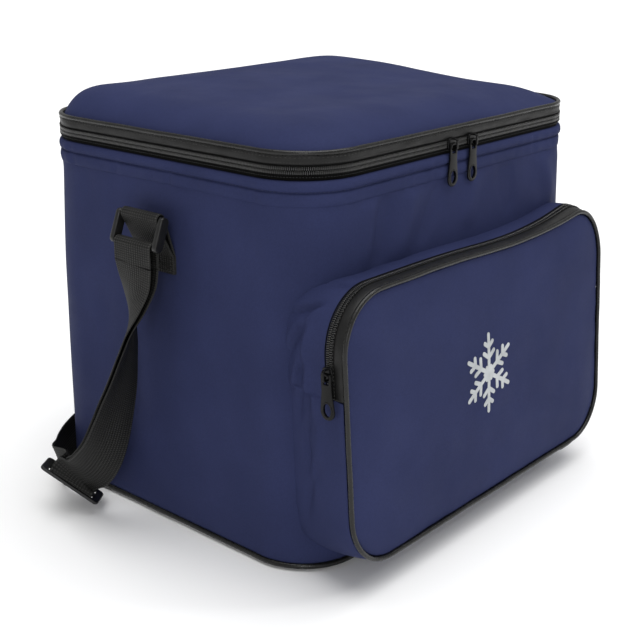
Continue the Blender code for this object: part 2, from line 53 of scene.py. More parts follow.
HEM_TOP, HEM_BOTTOM, SHELL_BOTTOM = 0.284, 0.268, 0.0062
HEM_GROOVE = 0.52  # height of the hem's stitched groove, as a share of the hem
BASE_GROWTH = 0.033  # the body is this much larger at its base than at its hem
DEEPEST = -0.0009  # the cloth sinks no further than this into the foam's soft surface
LID_SEAM, LID_RISE, PIPING_RADIUS = 0.3002, 0.0180, 0.0020
LID_EDGE, LID_CROWN = 0.0032, 0.044  # how far in the lid's cloth starts, and is nearly level
LID_LINER_Z = 0.2942
HINGE_LOW, HINGE_HIGH = 0.2838, 0.2950
ZIP_BACK = 0.100  # half the length of the back without a zip
LID_SLIDER_X = {"left": -0.0175, "right": 0.0075}
ZIP_LOW, ZIP_HIGH = 0.2892, 0.2928  # middle heights of the two halves of the lid's coil

POCKET_X, POCKET_BASE = -0.010, (-0.1899, 0.022)
POCKET_LEAN = math.atan(0.066)
POCKET_HALF, POCKET_HEIGHT, POCKET_CORNER = 0.168, 0.1974, 0.043
POCKET_SPLIT, POCKET_SLIDER_HEIGHT = 0.1280, 0.1460
POCKET_COIL_DEPTHS, POCKET_SLIDER_DEPTH = (0.0125, 0.0161), 0.0143  # behind the front of the pocket
PANEL_EDGE, PANEL_CROWN = 0.0042, 0.040  # the same for the pocket's panel
EMBLEM_X, EMBLEM_Z, EMBLEM_SIZE, EMBLEM_STROKE = -0.019, 0.125, 0.030, 0.0034

WEBBING, WEBBING_THICK, TAB_Y = 0.039, 0.0014, 0.002
TAB_SEWN, TAB_GAP = (0.203, 0.216), 0.0016
RING_BAR, RING_LOW_BAR = (0.1855, 0.2455), (0.1932, 0.2260)
RING_BAR_SIZE, RING_SIDE, RING_DEEP = 0.0038, 0.0042, 0.0078
LOOP_RADIUS, LOOP_REACH = 0.0036, 0.0340
GLIDE_CENTRE = Vector((-0.2140, 0.0695, 0.0250))
GLIDE_ACROSS = Vector((-0.450, 0.694, 0.563)).normalized()
GLIDE_ALONG = Vector((0.73, 0.59, -0.144)).normalized()
UP = np.array([0.0, 0.0, 1.0])
AROUND = np.linspace(0, 1, 400, endpoint=False)  # shares of the body's outline


# ---------------------------------------------------------------- materials

class Look:
    """A node material: every method adds one feature and returns the look."""

    def __init__(self, name, colour, roughness, **sockets):
        self.made = bpy.data.materials.new(name)
        self.made.use_nodes = True
        self.tree = self.made.node_tree
        self.shader = self.tree.nodes["Principled BSDF"]
        self.colour = (*colour, 1.0)
        self.shader.inputs["Base Color"].default_value = self.colour
        self.shader.inputs["Roughness"].default_value = roughness
        for socket, value in sockets.items():
            self.shader.inputs[socket.replace("_", " ")].default_value = value
        self.bump = None
        self.tone = None

    def node(self, kind, **settings):
        made = self.tree.nodes.new(kind)
        for key, value in settings.items():
            setattr(made, key, value)
        return made

    def link(self, a, b):
        self.tree.links.new(a, b)

    def coordinates(self, surface):
        where = self.node("ShaderNodeTexCoord")
        return where.outputs["UV" if surface else "Object"]

    def relief(self, height, strength, distance):
        """One more layer of bump under the ones before."""
        made = self.node("ShaderNodeBump")
        made.inputs["Strength"].default_value = strength
        made.inputs["Distance"].default_value = distance
        self.link(height, made.inputs["Height"])
        if self.bump:
            self.link(self.bump.outputs["Normal"], made.inputs["Normal"])
        self.link(made.outputs["Normal"], self.shader.inputs["Normal"])
        self.bump = made
        return self

    def wave(self, period, direction):
        made = self.node("ShaderNodeTexWave", bands_direction=direction)
        made.inputs["Scale"].default_value = math.pi / 10 / period
        self.link(self.coordinates(True), made.inputs["Vector"])
        return made.outputs["Fac"]

    def noise(self, size, detail):
        made = self.node("ShaderNodeTexNoise")
        made.inputs["Scale"].default_value = 1 / size
        made.inputs["Detail"].default_value = detail
        self.link(self.coordinates(False), made.inputs["Vector"])
        return made.outputs["Fac"]

    def math(self, a, b, operation):
        made = self.node("ShaderNodeMath", operation=operation)
        for socket, value in zip(made.inputs, (a, b)):
            if isinstance(value, float):
                socket.default_value = value
            else:
                self.link(value, socket)
        return made.outputs[0]

    def ramp(self, factor, low, high, least=0.0, most=1.0):
        """Runs from least to most as factor goes from low to high."""
        made = self.node("ShaderNodeMapRange")
        for socket, value in (("From Min", low), ("From Max", high), ("To Min", least), ("To Max", most)):
            made.inputs[socket].default_value = value
        self.link(factor, made.inputs["Value"])
        return made.outputs["Result"]

    def tones(self, factor, dark, light, low=0.3, high=0.7):
        """The colour runs from dark to light times what it was, as factor goes from low to high."""
        mix = self.node("ShaderNodeMix", data_type="RGBA")
        for slot, share in (("A", dark), ("B", light)):
            socket = [s for s in mix.inputs if s.name == slot and s.type == "RGBA"][0]
            if self.tone is None:
                socket.default_value = (*[c * share for c in self.colour[:3]], 1.0)
            else:
                scale = self.node("ShaderNodeVectorMath", operation="SCALE")
                scale.inputs["Scale"].default_value = share
                self.link(self.tone, scale.inputs[0])
                self.link(scale.outputs["Vector"], socket)
        self.link(self.ramp(factor, low, high), mix.inputs["Factor"])
        self.tone = [o for o in mix.outputs if o.type == "RGBA"][0]
        self.link(self.tone, self.shader.inputs["Base Color"])
        return self

    def rough(self, factor, low, high):
        """The roughness runs from low to high with factor."""
        self.link(self.ramp(factor, 0.3, 0.7, low, high), self.shader.inputs["Roughness"])
        return self


def woven(look, pitch, strength, depth=0.00012):
    """A plain weave of threads pitch apart, along and across the cloth."""
    both = look.math(look.wave(pitch, "X"), look.wave(pitch, "Y"), "MULTIPLY")
    return look.relief(both, strength, depth)


def nylon(name):
    look = Look(name, (0.0270, 0.0330, 0.0860), 0.58, Specular_IOR_Level=0.03)
    look.tones(look.noise(0.055, 4.0), 0.92, 1.08).tones(look.noise(0.0011, 2.0), 0.93, 1.07)
    look.rough(look.noise(0.030, 3.0), 0.54, 0.68)
    woven(look, 0.00055, 0.35)
    return look.relief(look.noise(0.0045, 4.0), 0.20, 0.0006).made


def coated(name, shade=0.0085):
    look = Look(name, (shade, shade, shade * 0.98), 0.38, Specular_IOR_Level=0.22)
    look.tones(look.noise(0.010, 5.0), 0.75, 1.30)
    look.rough(look.noise(0.006, 4.0), 0.36, 0.52)
    woven(look, 0.0007, 0.30, 0.0001)
    return look.relief(look.noise(0.0016, 5.0), 0.35, 0.0003).made


def vinyl(name):
    look = Look(name, (0.0080, 0.0080, 0.0075), 0.26, Specular_IOR_Level=0.32)
    look.tones(look.noise(0.012, 5.0), 0.70, 1.45)
    look.rough(look.noise(0.004, 4.0), 0.20, 0.38)
    return look.relief(look.noise(0.0013, 4.0), 0.45, 0.0003).made


def tape(name):
    look = Look(name, (0.0030, 0.0030, 0.0030), 0.70, Specular_IOR_Level=0.05)
    look.tones(look.wave(0.0011, "X"), 0.75, 1.5)
    return woven(look, 0.0008, 0.7, 0.0002).made


def coil(name):
    look = Look(name, (0.0110, 0.0110, 0.0104), 0.22, Specular_IOR_Level=0.60)
    look.tones(look.noise(0.003, 2.0), 0.8, 1.3)
    return look.relief(look.noise(0.0006, 3.0), 0.2, 0.0001).made


def webbing(name):
    """Ribbed webbing: cords along it, crossed by a finer weft, with a painted highlight that makes it lighter
    towards its selvedges.
    """
    look = Look(name, (0.0140, 0.0140, 0.0134), 0.60, Specular_IOR_Level=0.20)
    ribs, weft = look.wave(0.0024, "X"), look.wave(0.0017, "Y")
    weave = look.math(ribs, weft, "MULTIPLY")
    look.tones(weave, 0.40, 2.30, 0.05, 0.75)
    # painted highlight: the colour gets up to 2.6 times lighter towards both selvedges, standing in for the
    # light the webbing's edges catch
    place = look.node("ShaderNodeSeparateXYZ")
    look.link(look.coordinates(True), place.inputs[0])
    edge = look.math(place.outputs["X"], 0.0, "ABSOLUTE")
    look.tones(edge, 1.0, 2.6, WEBBING * 0.455, WEBBING * 0.50)
    look.relief(ribs, 0.6, 0.0004).relief(weft, 0.7, 0.0003)
    return look.relief(look.noise(0.0005, 2.0), 0.4, 0.0002).made


def plastic(name):
    look = Look(name, (0.009, 0.009, 0.009), 0.30, Specular_IOR_Level=0.36)
    look.rough(look.noise(0.008, 4.0), 0.28, 0.42)
    look.tones(look.noise(0.006, 4.0), 0.85, 1.2)
    return look.relief(look.noise(0.0007, 3.0), 0.18, 0.0001).made


def enamel(name):
    look = Look(name, (0.0035, 0.0035, 0.0037), 0.16, Specular_IOR_Level=0.15)
    look.rough(look.noise(0.004, 4.0), 0.12, 0.24)
    look.tones(look.noise(0.003, 4.0), 0.85, 1.4)
    return look.relief(look.noise(0.0012, 3.0), 0.12, 0.0001).made


def foil(name):
    look = Look(name, (0.42, 0.43, 0.45), 0.42, Metallic=0.80)
    look.rough(look.noise(0.012, 3.0), 0.34, 0.52)
    look.tones(look.noise(0.030, 4.0), 0.88, 1.05)
    return look.relief(look.noise(0.012, 2.0), 0.40, 0.0016).made


def foam(name):
    look = Look(name, (0.80, 0.80, 0.79), 0.85, Subsurface_Weight=0.1)
    look.tones(look.noise(0.0012, 2.0), 0.90, 1.03)
    return look.relief(look.noise(0.0009, 2.0), 0.5, 0.0004).made


def thread(name, colour):
    look = Look(name, colour, 0.55, Specular_IOR_Level=0.35)
    look.tones(look.noise(0.002, 2.0), 0.75, 1.3)
    return look.relief(look.noise(0.0004, 2.0), 0.4, 0.0001).made


def silver_print(name):
    look = Look(name, (0.42, 0.44, 0.45), 0.38, Metallic=0.35)
    look.tones(look.noise(0.016, 3.0), 0.80, 1.20)
    return look.relief(look.noise(0.0006, 3.0), 0.4, 0.0001).made


LOOKS = {
    "navy_nylon": nylon("navy_nylon"),
    "black_tape": tape("black_tape"),
    "coated_band": coated("coated_band"),
    "black_coil": coil("black_coil"),
    "black_piping": vinyl("black_piping"),
    "black_webbing": webbing("black_webbing"),
    "black_plastic": plastic("black_plastic"),
    "black_metal": enamel("black_metal"),
    "foam": foam("foam"),
    "silver_liner": foil("silver_liner"),
    "stiffener_board": plastic("stiffener_board"),
    "navy_thread": thread("navy_thread", (0.016, 0.021, 0.060)),
    "black_thread": thread("black_thread", (0.030, 0.030, 0.029)),
    "silver_print": silver_print("silver_print"),
}


# ---------------------------------------------------------------- mesh tools

def put(name, mesh, look):
    """A new piece with a material."""
    piece = bpy.data.objects.new(name, mesh)
    bpy.context.scene.collection.objects.link(piece)
    mesh.materials.clear()
    mesh.materials.append(LOOKS[look])
    return piece


def quads(values):
    """The values at the four corners of each cell of a grid."""
    return np.stack([values[:-1, :-1], values[:-1, 1:], values[1:, 1:], values[1:, :-1]], 2)


def grid(
    name, rows, look, round_columns=True, round_rows=False, cap=False, flip=False, across=None,
):
    """A smooth piece through a grid of points.

    Its cloth is measured in metres along both directions. Where the distances between the columns won't do,
    across gives their places.
    """
    rows = np.asarray(rows, float)
    count, width = rows.shape[:2]
    index = np.arange(count * width).reshape(count, width)
    steps = np.linalg.norm(np.diff(rows, axis=1), axis=2).mean(0)
    u = np.concatenate([[0], np.cumsum(steps)]) if across is None else np.asarray(across, float)
    climbs = np.linalg.norm(np.diff(rows, axis=0), axis=2).mean(1)
    v = np.concatenate([[0], np.cumsum(climbs)])
    if round_columns:
        index = np.concatenate([index, index[:, :1]], axis=1)
        u = np.append(u, u[-1] + (u[-1] - u[-2]) if across is None else across[0])
    if round_rows:
        index = np.concatenate([index, index[:1]], axis=0)
        v = np.append(v, v[-1] + climbs.mean())
    marks = quads(np.stack(np.meshgrid(u, v), -1)).reshape(-1, 2)
    mesh = bpy.data.meshes.new(name)
    polygons = quads(index).reshape(-1, 4).tolist()
    if cap:
        polygons.append(np.arange((count - 1) * width, count * width).tolist())
    mesh.from_pydata(rows.reshape(-1, 3).tolist(), [], polygons)
    layer = mesh.uv_layers.new(name="cloth")
    flat = np.zeros((len(mesh.loops), 2), np.float32)
    flat[: len(marks)] = marks
    layer.data.foreach_set("uv", flat.ravel())
    if flip:
        mesh.flip_normals()
    mesh.shade_smooth()
    return put(name, mesh, look)


def evaluated(piece):
    """A new mesh with what the piece's modifiers or curve settings make."""
    return bpy.data.meshes.new_from_object(piece.evaluated_get(bpy.context.evaluated_depsgraph_get()))


def thicken(piece, thickness):
    """The sheet's real thickness, inwards, applied to its mesh."""
    thick = piece.modifiers.new("thickness", "SOLIDIFY")
    thick.thickness, thick.offset, thick.use_even_offset = thickness, -1.0, True
    shape = evaluated(piece)
    piece.modifiers.clear()
    old, piece.data = piece.data, shape
    bpy.data.meshes.remove(old)
    return piece


def fill_holes(mesh, height=math.inf, turn=False):
    """Closes the openings whose edges start below a height; turn also turns every face outwards."""
    shape = bmesh.new()
    shape.from_mesh(mesh)
    edges = [e for e in shape.edges if e.is_boundary and e.verts[0].co.z < height]
    bmesh.ops.holes_fill(shape, edges=edges, sides=0)
    if turn:
        bmesh.ops.recalc_face_normals(shape, faces=shape.faces)
    shape.to_mesh(mesh)
    shape.free()


def ripple(points, size, shift=0.0):
    """Smooth noise between about -1 and 1 at each point, with lumps about size across."""
    size = np.broadcast_to(np.asarray(size, float), 3)
    flat = np.asarray(points, float).reshape(-1, 3) / size + shift
    return np.array([noise.noise(Vector(p)) for p in flat]).reshape(np.shape(points)[:-1])


def smooth(a):
    """Eases from 0 to 1 as a goes from 0 to 1."""
    a = np.clip(a, 0, 1)
    return a * a * (3 - 2 * a)


def outline(share, half, deep, radius):
    """Points and outward directions on a rounded rectangle, anticlockwise from the middle of its low side."""
    share = np.asarray(share, float) % 1.0
    u, v, turn = half - radius, deep - radius, math.pi / 2 * radius
    lengths = np.array([u, turn, 2 * v, turn, 2 * u, turn, 2 * v, turn, u])
    ends = np.cumsum(lengths)
    walked = share * ends[-1]
    leg = np.minimum(np.searchsorted(ends, walked, side="right"), 8)
    along = walked - (ends - lengths)[leg]
    point, out = np.zeros((len(share), 2)), np.zeros((len(share), 2))
    starts = [(0, -deep), (half, -v), (u, deep), (-half, v), (-u, -deep)]
    headings = [(1, 0), (0, 1), (-1, 0), (0, -1), (1, 0)]
    for i, (start, heading) in enumerate(zip(starts, headings)):
        here = leg == 2 * i
        point[here] = np.array(start) + along[here, None] * np.array(heading)
        out[here] = (heading[1], -heading[0])
    for i, centre in enumerate([(u, -v), (u, v), (-u, v), (-u, -v)]):
        here = leg == 2 * i + 1
        angle = along[here] / radius + math.pi / 2 * (i - 1)
        out[here] = np.stack([np.cos(angle), np.sin(angle)], 1)
        point[here] = np.array(centre) + radius * out[here]
    return point, out


def growth(z):
    """The body's size at height z, as a share of its size at the hem."""
    return 1 + BASE_GROWTH * (1 - min(z, HEM_TOP) / HEM_TOP)


def body_row(share, z, inset=0.0):
    """The bag's outline at height z and its outward directions."""
    k = growth(z)
    point, out = outline(share, WIDTH / 2 * k - inset, DEPTH / 2 * k - inset, CORNER * k - inset)
    height = np.full(len(point), z)
    return np.column_stack([point, height]), np.column_stack([out, np.zeros(len(out))])


def pocket_row(share, depth, inset=0.0, scale=1.0):
    """The pocket's outline, depth behind its front, in the row frame, and its outward directions."""
    deep = POCKET_HEIGHT / 2
    point, out = outline(share, POCKET_HALF - inset, deep - inset, POCKET_CORNER - inset)
    depths = np.broadcast_to(depth, len(point))
    local = np.column_stack([point[:, 0] * scale, depths, point[:, 1] * scale + deep])
    return pocket_world(local), pocket_turn(np.column_stack([out[:, 0], np.zeros(len(out)), out[:, 1]]))


def pocket_turn(local):
    """Directions in the pocket's own frame, turned into the row frame."""
    c, s = math.cos(POCKET_LEAN), math.sin(POCKET_LEAN)
    x, y, z = np.asarray(local, float).T
    return np.column_stack([x, y * c + z * s, -y * s + z * c])


def sway(local):
    """The soft pocket's shape: its top sags in the middle, swells at the right and rises behind the piping."""
    x, depth, height = np.asarray(local, float).T
    top = smooth((height - 0.125) / 0.060)
    fade = smooth((0.075 - depth) / 0.055)
    back = np.clip(depth / 0.0174, 0, 1) * fade
    sag = -0.0032 * np.exp(-(((x - 0.040) / 0.060) ** 2))
    corner = 0.0040 * np.exp(-(((x - 0.150) / 0.034) ** 2))
    rise = back * (0.0014 + 0.0036 * np.exp(-(((x - 0.142) / 0.045) ** 2)))
    moved = np.asarray(local, float).copy()
    moved[:, 2] += top * ((sag + corner) * fade + rise)
    return moved


def pocket_world(local):
    """Points in the pocket's own frame, in the row frame."""
    return pocket_turn(sway(local)) + np.array([POCKET_X, *POCKET_BASE])


INWARD = pocket_turn(np.array([[0.0, 1.0, 0.0]]))[0]  # the direction from the pocket's front to its back


def rope(name, middle, side, up, radius, look, closed=True, sides=10):
    """A round cord along middle; side and up are the directions across it at each point."""
    angles = np.linspace(0, 2 * math.pi, sides, endpoint=False)
    radius = np.broadcast_to(radius, len(middle))[:, None]
    rows = [middle + radius * (math.cos(a) * side + math.sin(a) * up) for a in angles]
    rows = np.stack(rows, 1)
    return grid(name, rows, look, round_rows=closed)


def seed_shape(kind):
    """The small shape that a row of teeth or stitches repeats, one unit long each way."""
    shape = bmesh.new()
    if kind == "tooth":
        bmesh.ops.create_cube(shape, size=1.0)
        bmesh.ops.bevel(shape, geom=shape.edges[:], offset=0.22, segments=1, affect="EDGES")
    else:
        bmesh.ops.create_uvsphere(shape, u_segments=6, v_segments=4, radius=0.5)
    shape.verts.ensure_lookup_table()
    points = np.array([v.co for v in shape.verts])
    faces = [[v.index for v in f.verts] for f in shape.faces]
    shape.free()
    return points, faces


def repeat(name, centres, along, out, size, look, kind="stitch"):
    """One piece of many small equal shapes, sized along the row, out of the surface and across the row."""
    points, faces = seed_shape(kind)
    across = np.cross(out, along)
    points = points * np.array(size)
    placed = (
        centres[:, None]
        + points[None, :, 0, None] * along[:, None]
        + points[None, :, 1, None] * out[:, None]
        + points[None, :, 2, None] * across[:, None]
    )
    count = len(points)
    polygons = [[v + i * count for v in face] for i in range(len(centres)) for face in faces]
    mesh = bpy.data.meshes.new(name)
    mesh.from_pydata(placed.reshape(-1, 3).tolist(), [], polygons)
    mesh.shade_smooth()
    if kind == "tooth":
        mesh.set_sharp_from_angle(angle=math.radians(60))
    return put(name, mesh, look)


def lookup(at, known, values):
    """Points or directions given at known places along a line, read at other places."""
    return np.column_stack([np.interp(at, known, values[:, i]) for i in range(3)])


def along_line(points, pitch, shift=0.0):
    """Places a pitch apart on an open line, with their directions, and how far along each is."""
    legs = np.linalg.norm(np.diff(points, axis=0), axis=1)
    walked = np.concatenate([[0], np.cumsum(legs)])
    at = np.arange(pitch * (0.5 + shift), walked[-1], pitch)
    ahead = lookup(at + 1e-4, walked, points) - lookup(at - 1e-4, walked, points)
    return lookup(at, walked, points), ahead / np.linalg.norm(ahead, axis=1)[:, None], at / walked[-1]


def flat_shape(outlines, thickness, bevel, steps=2):
    """A plate with rounded edges from flat outlines, holes left open: its own X and Y, thickness along Z."""
    curve = bpy.data.curves.new("plate", "CURVE")
    curve.dimensions, curve.fill_mode = "2D", "BOTH"
    curve.extrude, curve.bevel_depth, curve.bevel_resolution = thickness / 2 - bevel, bevel, steps
    curve.offset = -bevel
    for points in outlines:
        line = curve.splines.new("POLY")
        line.points.add(len(points) - 1)
        for spot, (x, y) in zip(line.points, points):
            spot.co = (x, y, 0, 1)
        line.use_cyclic_u = True
    holder = bpy.data.objects.new("plate", curve)
    bpy.context.scene.collection.objects.link(holder)
    mesh = evaluated(holder)
    bpy.data.objects.remove(holder)
    shape = bmesh.new()
    shape.from_mesh(mesh)
    bmesh.ops.remove_doubles(shape, verts=shape.verts, dist=1e-6)
    shape.to_mesh(mesh)
    shape.free()
    mesh.shade_smooth()
    mesh.set_sharp_from_angle(angle=math.radians(40))
    return mesh


def joined(name, parts, look):
    """Meshes, each with its matrix, as one piece."""
    shape = bmesh.new()
    for mesh, matrix in parts:
        mesh.transform(matrix)
        shape.from_mesh(mesh)
    made = bpy.data.meshes.new(name)
    shape.to_mesh(made)
    shape.free()
    made.shade_smooth()
    made.set_sharp_from_angle(angle=math.radians(40))
    return put(name, made, look)


def arc(cx, cy, radius, start, end, steps=6):
    """Points on an arc, its start and end in degrees."""
    angles = np.radians(np.linspace(start, end, steps + 1))
    return [(cx + radius * math.cos(a), cy + radius * math.sin(a)) for a in angles]


def round_box(x0, x1, y0, y1, r):
    """The outline of a rectangle with round corners."""
    return (
        arc(x1 - r, y0 + r, r, -90, 0) + arc(x1 - r, y1 - r, r, 0, 90)
        + arc(x0 + r, y1 - r, r, 90, 180) + arc(x0 + r, y0 + r, r, 180, 270)
    )


# ---------------------------------------------------------------- camera and light

CAMERA_AT, CAMERA_AIM, CAMERA_LENS = (-0.7045, -0.6186, 0.4450), (0.018, 0.0129, 0.1116), 65.2
FLOOR_REACH, FLOOR_Z = 40.0, -0.0002


def build_camera():
    camera = bpy.data.objects.new("camera", bpy.data.cameras.new("camera"))
    bpy.context.scene.collection.objects.link(camera)
    camera.data.lens, camera.data.sensor_width = CAMERA_LENS, 36.0
    camera.location = CAMERA_AT
    aim = Vector(CAMERA_AIM) - camera.location
    camera.rotation_euler = aim.to_track_quat("-Z", "Y").to_euler()
    bpy.context.scene.camera = camera


def sun(name, towards, strength, softness):
    """A broad soft light from far away, from the direction given."""
    data = bpy.data.lights.new(name, "SUN")
    data.energy, data.angle = strength, math.radians(softness)
    made = bpy.data.objects.new(name, data)
    bpy.context.scene.collection.objects.link(made)
    made.rotation_euler = Vector(towards).to_track_quat("Z", "Y").to_euler()


def build_studio():
    world = bpy.data.worlds.new("studio")
    bpy.context.scene.world = world
    world.use_nodes = True
    sky = world.node_tree.nodes["Background"].inputs
    sky["Color"].default_value, sky["Strength"].default_value = (1, 1, 1, 1), 0.45
    bpy.context.scene.view_settings.view_transform = "Standard"
    sun("key", (0.12, -0.08, 1.20), 2.50, 60)
    sun("corner", (-0.70, -0.60, 0.45), 0.55, 14)
    sun("shade", (0.75, -0.80, 1.00), 0.30, 8)
    floor = bpy.data.meshes.new("floor")
    corners = [(x * FLOOR_REACH, y * FLOOR_REACH, 0) for x, y in ((-1, -1), (1, -1), (1, 1), (-1, 1))]
    floor.from_pydata(corners, [], [(0, 1, 2, 3)])
    ground = bpy.data.objects.new("floor", floor)
    ground.location = (0, 0, FLOOR_Z)
    bpy.context.scene.collection.objects.link(ground)
    floor.materials.append(Look("floor", (0.93, 0.93, 0.93), 0.8).made)


# ---------------------------------------------------------------- strap and its hardware

def heading(degrees, rise=0.0):
    """A direction by its angle from +X and its rise."""
    flat = math.sqrt(1 - rise * rise)
    angle = math.radians(degrees)
    return Vector((flat * math.cos(angle), flat * math.sin(angle), rise))


def glide_point(along, up):
    """A point over the middle of the tri-glide."""
    normal = GLIDE_ALONG.cross(GLIDE_ACROSS).normalized()
    if normal.z < 0:
        normal = -normal
    return GLIDE_CENTRE + GLIDE_ALONG * along + normal * up


def strap_start(side, inner):
    """Where one of the webbing's two layers leaves the piece that turns round the ring's lower bar."""
    x = RING_LOW_BAR[0] + (-LOOP_RADIUS if inner else LOOP_RADIUS)
    drop = math.sqrt((LOOP_REACH + 0.0010) ** 2 - (x - RING_BAR[0]) ** 2)
    return Vector((side * x, TAB_Y, RING_BAR[1] - drop))


def hanging_stations():
    """The strap's hanging stretch on the left, from the ring to above the tri-glide."""
    places = [
        ((-0.1897, 0.0022, 0.197), (82,)),
        ((-0.1925, 0.0032, 0.182), (66,)),
        ((-0.1960, 0.0052, 0.166), (47,)),
        ((-0.1990, 0.0068, 0.150), (34,)),
        ((-0.2025, 0.0100, 0.130), (22,)),
        ((-0.2050, 0.0150, 0.110), (9,)),
        ((-0.2080, 0.0205, 0.090), (-1, -0.04)),
        ((-0.2110, 0.0270, 0.070), (-12, -0.14)),
        ((-0.2135, 0.0370, 0.052), (-30, -0.30)),
        ((-0.2140, 0.0500, 0.0385), (-47, -0.46)),
    ]
    start = (strap_start(-1, True), heading(90))
    return [start] + [(Vector(at), heading(*across)) for at, across in places]


def glide_stations():
    """Down one slot of the tri-glide, under its middle bar and up the other."""
    across = -GLIDE_ACROSS
    places = [(-0.0060, 0.0080), (-0.0051, 0.0), (-0.0026, -0.0032), (0.0026, -0.0032)]
    places += [(0.0050, 0.0), (0.0064, 0.0062), (0.0110, 0.0092)]
    return [(glide_point(*at), across) for at in places]


def trailing_stations():
    """The strap's stretch on edge behind the bag, and up to below the right ring."""
    on_edge = (0, 0, -1)
    places = [
        ((-0.2020, 0.0960, 0.0245), (0.22, -0.42, -0.88)),
        ((-0.1950, 0.1120, 0.0205), (0.05, -0.10, -0.99)),
        ((-0.1820, 0.1270, 0.0200), on_edge),
        ((-0.1640, 0.1400, 0.0200), on_edge),
        ((-0.1400, 0.1510, 0.0200), on_edge),
        ((-0.0900, 0.1570, 0.0200), on_edge),
        ((-0.0300, 0.1580, 0.0200), on_edge),
        ((0.0300, 0.1575, 0.0200), on_edge),
        ((0.0900, 0.1580, 0.0205), on_edge),
        ((0.1380, 0.1560, 0.0235), on_edge),
        ((0.1690, 0.1420, 0.0310), (0, -0.10, -0.99)),
        ((0.1870, 0.1160, 0.0460), (0, -0.30, -0.95)),
        ((0.1950, 0.0860, 0.0700), (0, -0.55, -0.83)),
        ((0.1965, 0.0560, 0.1050), (0, -0.78, -0.62)),
        ((0.1950, 0.0310, 0.1450), (0, -0.92, -0.39)),
        ((0.1920, 0.0120, 0.1820), (0, -0.98, -0.18)),
        (strap_start(1, True), (0, -1, 0)),
    ]
    return [(Vector(at), Vector(across).normalized()) for at, across in places]


def between(around, t):
    """The point and direction a share t of the way from the second to the third of four stations."""
    weights = (
        (-t + 2 * t * t - t**3) / 2,
        (2 - 5 * t * t + 3 * t**3) / 2,
        (t + 4 * t * t - 3 * t**3) / 2,
        (t**3 - t * t) / 2,
    )
    point = sum((s[0] * w for s, w in zip(around, weights)), Vector())
    across = sum((s[1] * w for s, w in zip(around, weights)), Vector())
    return point, across.normalized()


def smooth_route(stations, spacing=0.0025):
    """Points about spacing apart on a smooth curve through the stations."""
    made = []
    for i in range(len(stations) - 1):
        around = [stations[min(max(k, 0), len(stations) - 1)] for k in (i - 1, i, i + 1, i + 2)]
        span = (around[2][0] - around[1][0]).length
        steps = max(2, round(span / spacing))
        made += [between(around, k / steps) for k in range(steps)]
    made.append(stations[-1])
    return made


def section(half, thick):
    """The webbing's cross-section: corded on both faces, rounded at its selvedges."""
    cords, relief = 15, 0.00012
    s = np.linspace(-half, half, 4 * cords + 1)
    cord = relief * np.cos(2 * math.pi * cords * (s + half) / (2 * half))
    edge = np.sqrt(np.clip(1 - np.clip((np.abs(s) - half + thick / 2) / (thick / 2), 0, 1) ** 2, 0.02, 1))
    level = (thick / 2) * edge - (relief - cord) * (edge > 0.9)
    face = list(zip(s, level))
    return face + [(a, -b) for a, b in reversed(face)]


def ribbon(name, route):
    """A webbing strip along a route of middle points and directions across."""
    points = np.array([p for p, _ in route])
    across = np.array([w for _, w in route])
    ahead = np.gradient(points, axis=0)
    ahead /= np.linalg.norm(ahead, axis=1)[:, None]
    across -= (across * ahead).sum(1)[:, None] * ahead
    across /= np.linalg.norm(across, axis=1)[:, None]
    normal = np.cross(across, ahead)
    loop = section(WEBBING / 2, WEBBING_THICK)
    rows = np.stack([points + a * across + b * normal for a, b in loop], 1)
    strip = grid(name, rows, "black_webbing", across=[a for a, _ in loop], flip=True)
    fill_holes(strip.data, turn=True)
    return strip


def turn_points(bar, side, start, end, steps):
    """The webbing's middle where it goes round a bar of the ring."""
    return [Vector((side * x, TAB_Y, z)) for x, z in arc(*bar, LOOP_RADIUS, start, end, steps)]


def build_strap():
    route = smooth_route(hanging_stations() + glide_stations() + trailing_stations())
    split = next(i for i, (p, _) in enumerate(route) if p.x > 0.15 and p.z > 0.150)
    strap = ribbon("shoulder_strap_webbing", route[: split + 1])
    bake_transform(strap)
    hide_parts("shoulder_strap")
    top = ribbon("shoulder_strap_right_end", route[split:])
    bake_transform(top)
    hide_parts("shoulder_strap")
    build_tri_glide()
    build_sewn_end()
    build_right_fold()
    for side, word in ((-1, "left"), (1, "right")):
        build_turn(side, word)
        build_tab(side, word)
        build_ring(side, word)


def build_sewn_end():
    """The strap's other layer on the left: from the ring down to the tri-glide's middle bar."""
    apart = [2 * LOOP_RADIUS, 0.0060, 0.0045, 0.0034, 0.0030, 0.0030, 0.0030, 0.0030, 0.0030, 0.0030, 0.0034]
    hanging = hanging_stations()
    doubled = []
    for i, ((point, across), gap) in enumerate(zip(hanging, apart)):
        ahead = hanging[min(i + 1, len(hanging) - 1)][0] - hanging[max(i - 1, 0)][0]
        doubled.append((point + across.cross(ahead).normalized() * gap, across))
    doubled[0] = (strap_start(-1, False), heading(90))
    route = smooth_route(doubled)
    layer = ribbon("strap_sewn_webbing", route)
    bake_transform(layer)
    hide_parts("strap_sewn_end")
    return layer


def build_right_fold():
    """The short end of the strap below the right ring, behind the strap."""
    start = strap_start(1, False)
    tail = [start, start + Vector((-0.0002, 0, -0.012)), start + Vector((-0.0022, 0.002, -0.028))]
    fold = ribbon("strap_right_tail", smooth_route([(p, Vector((0, 1, 0))) for p in tail]))
    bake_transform(fold)
    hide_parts("strap_fold_right")


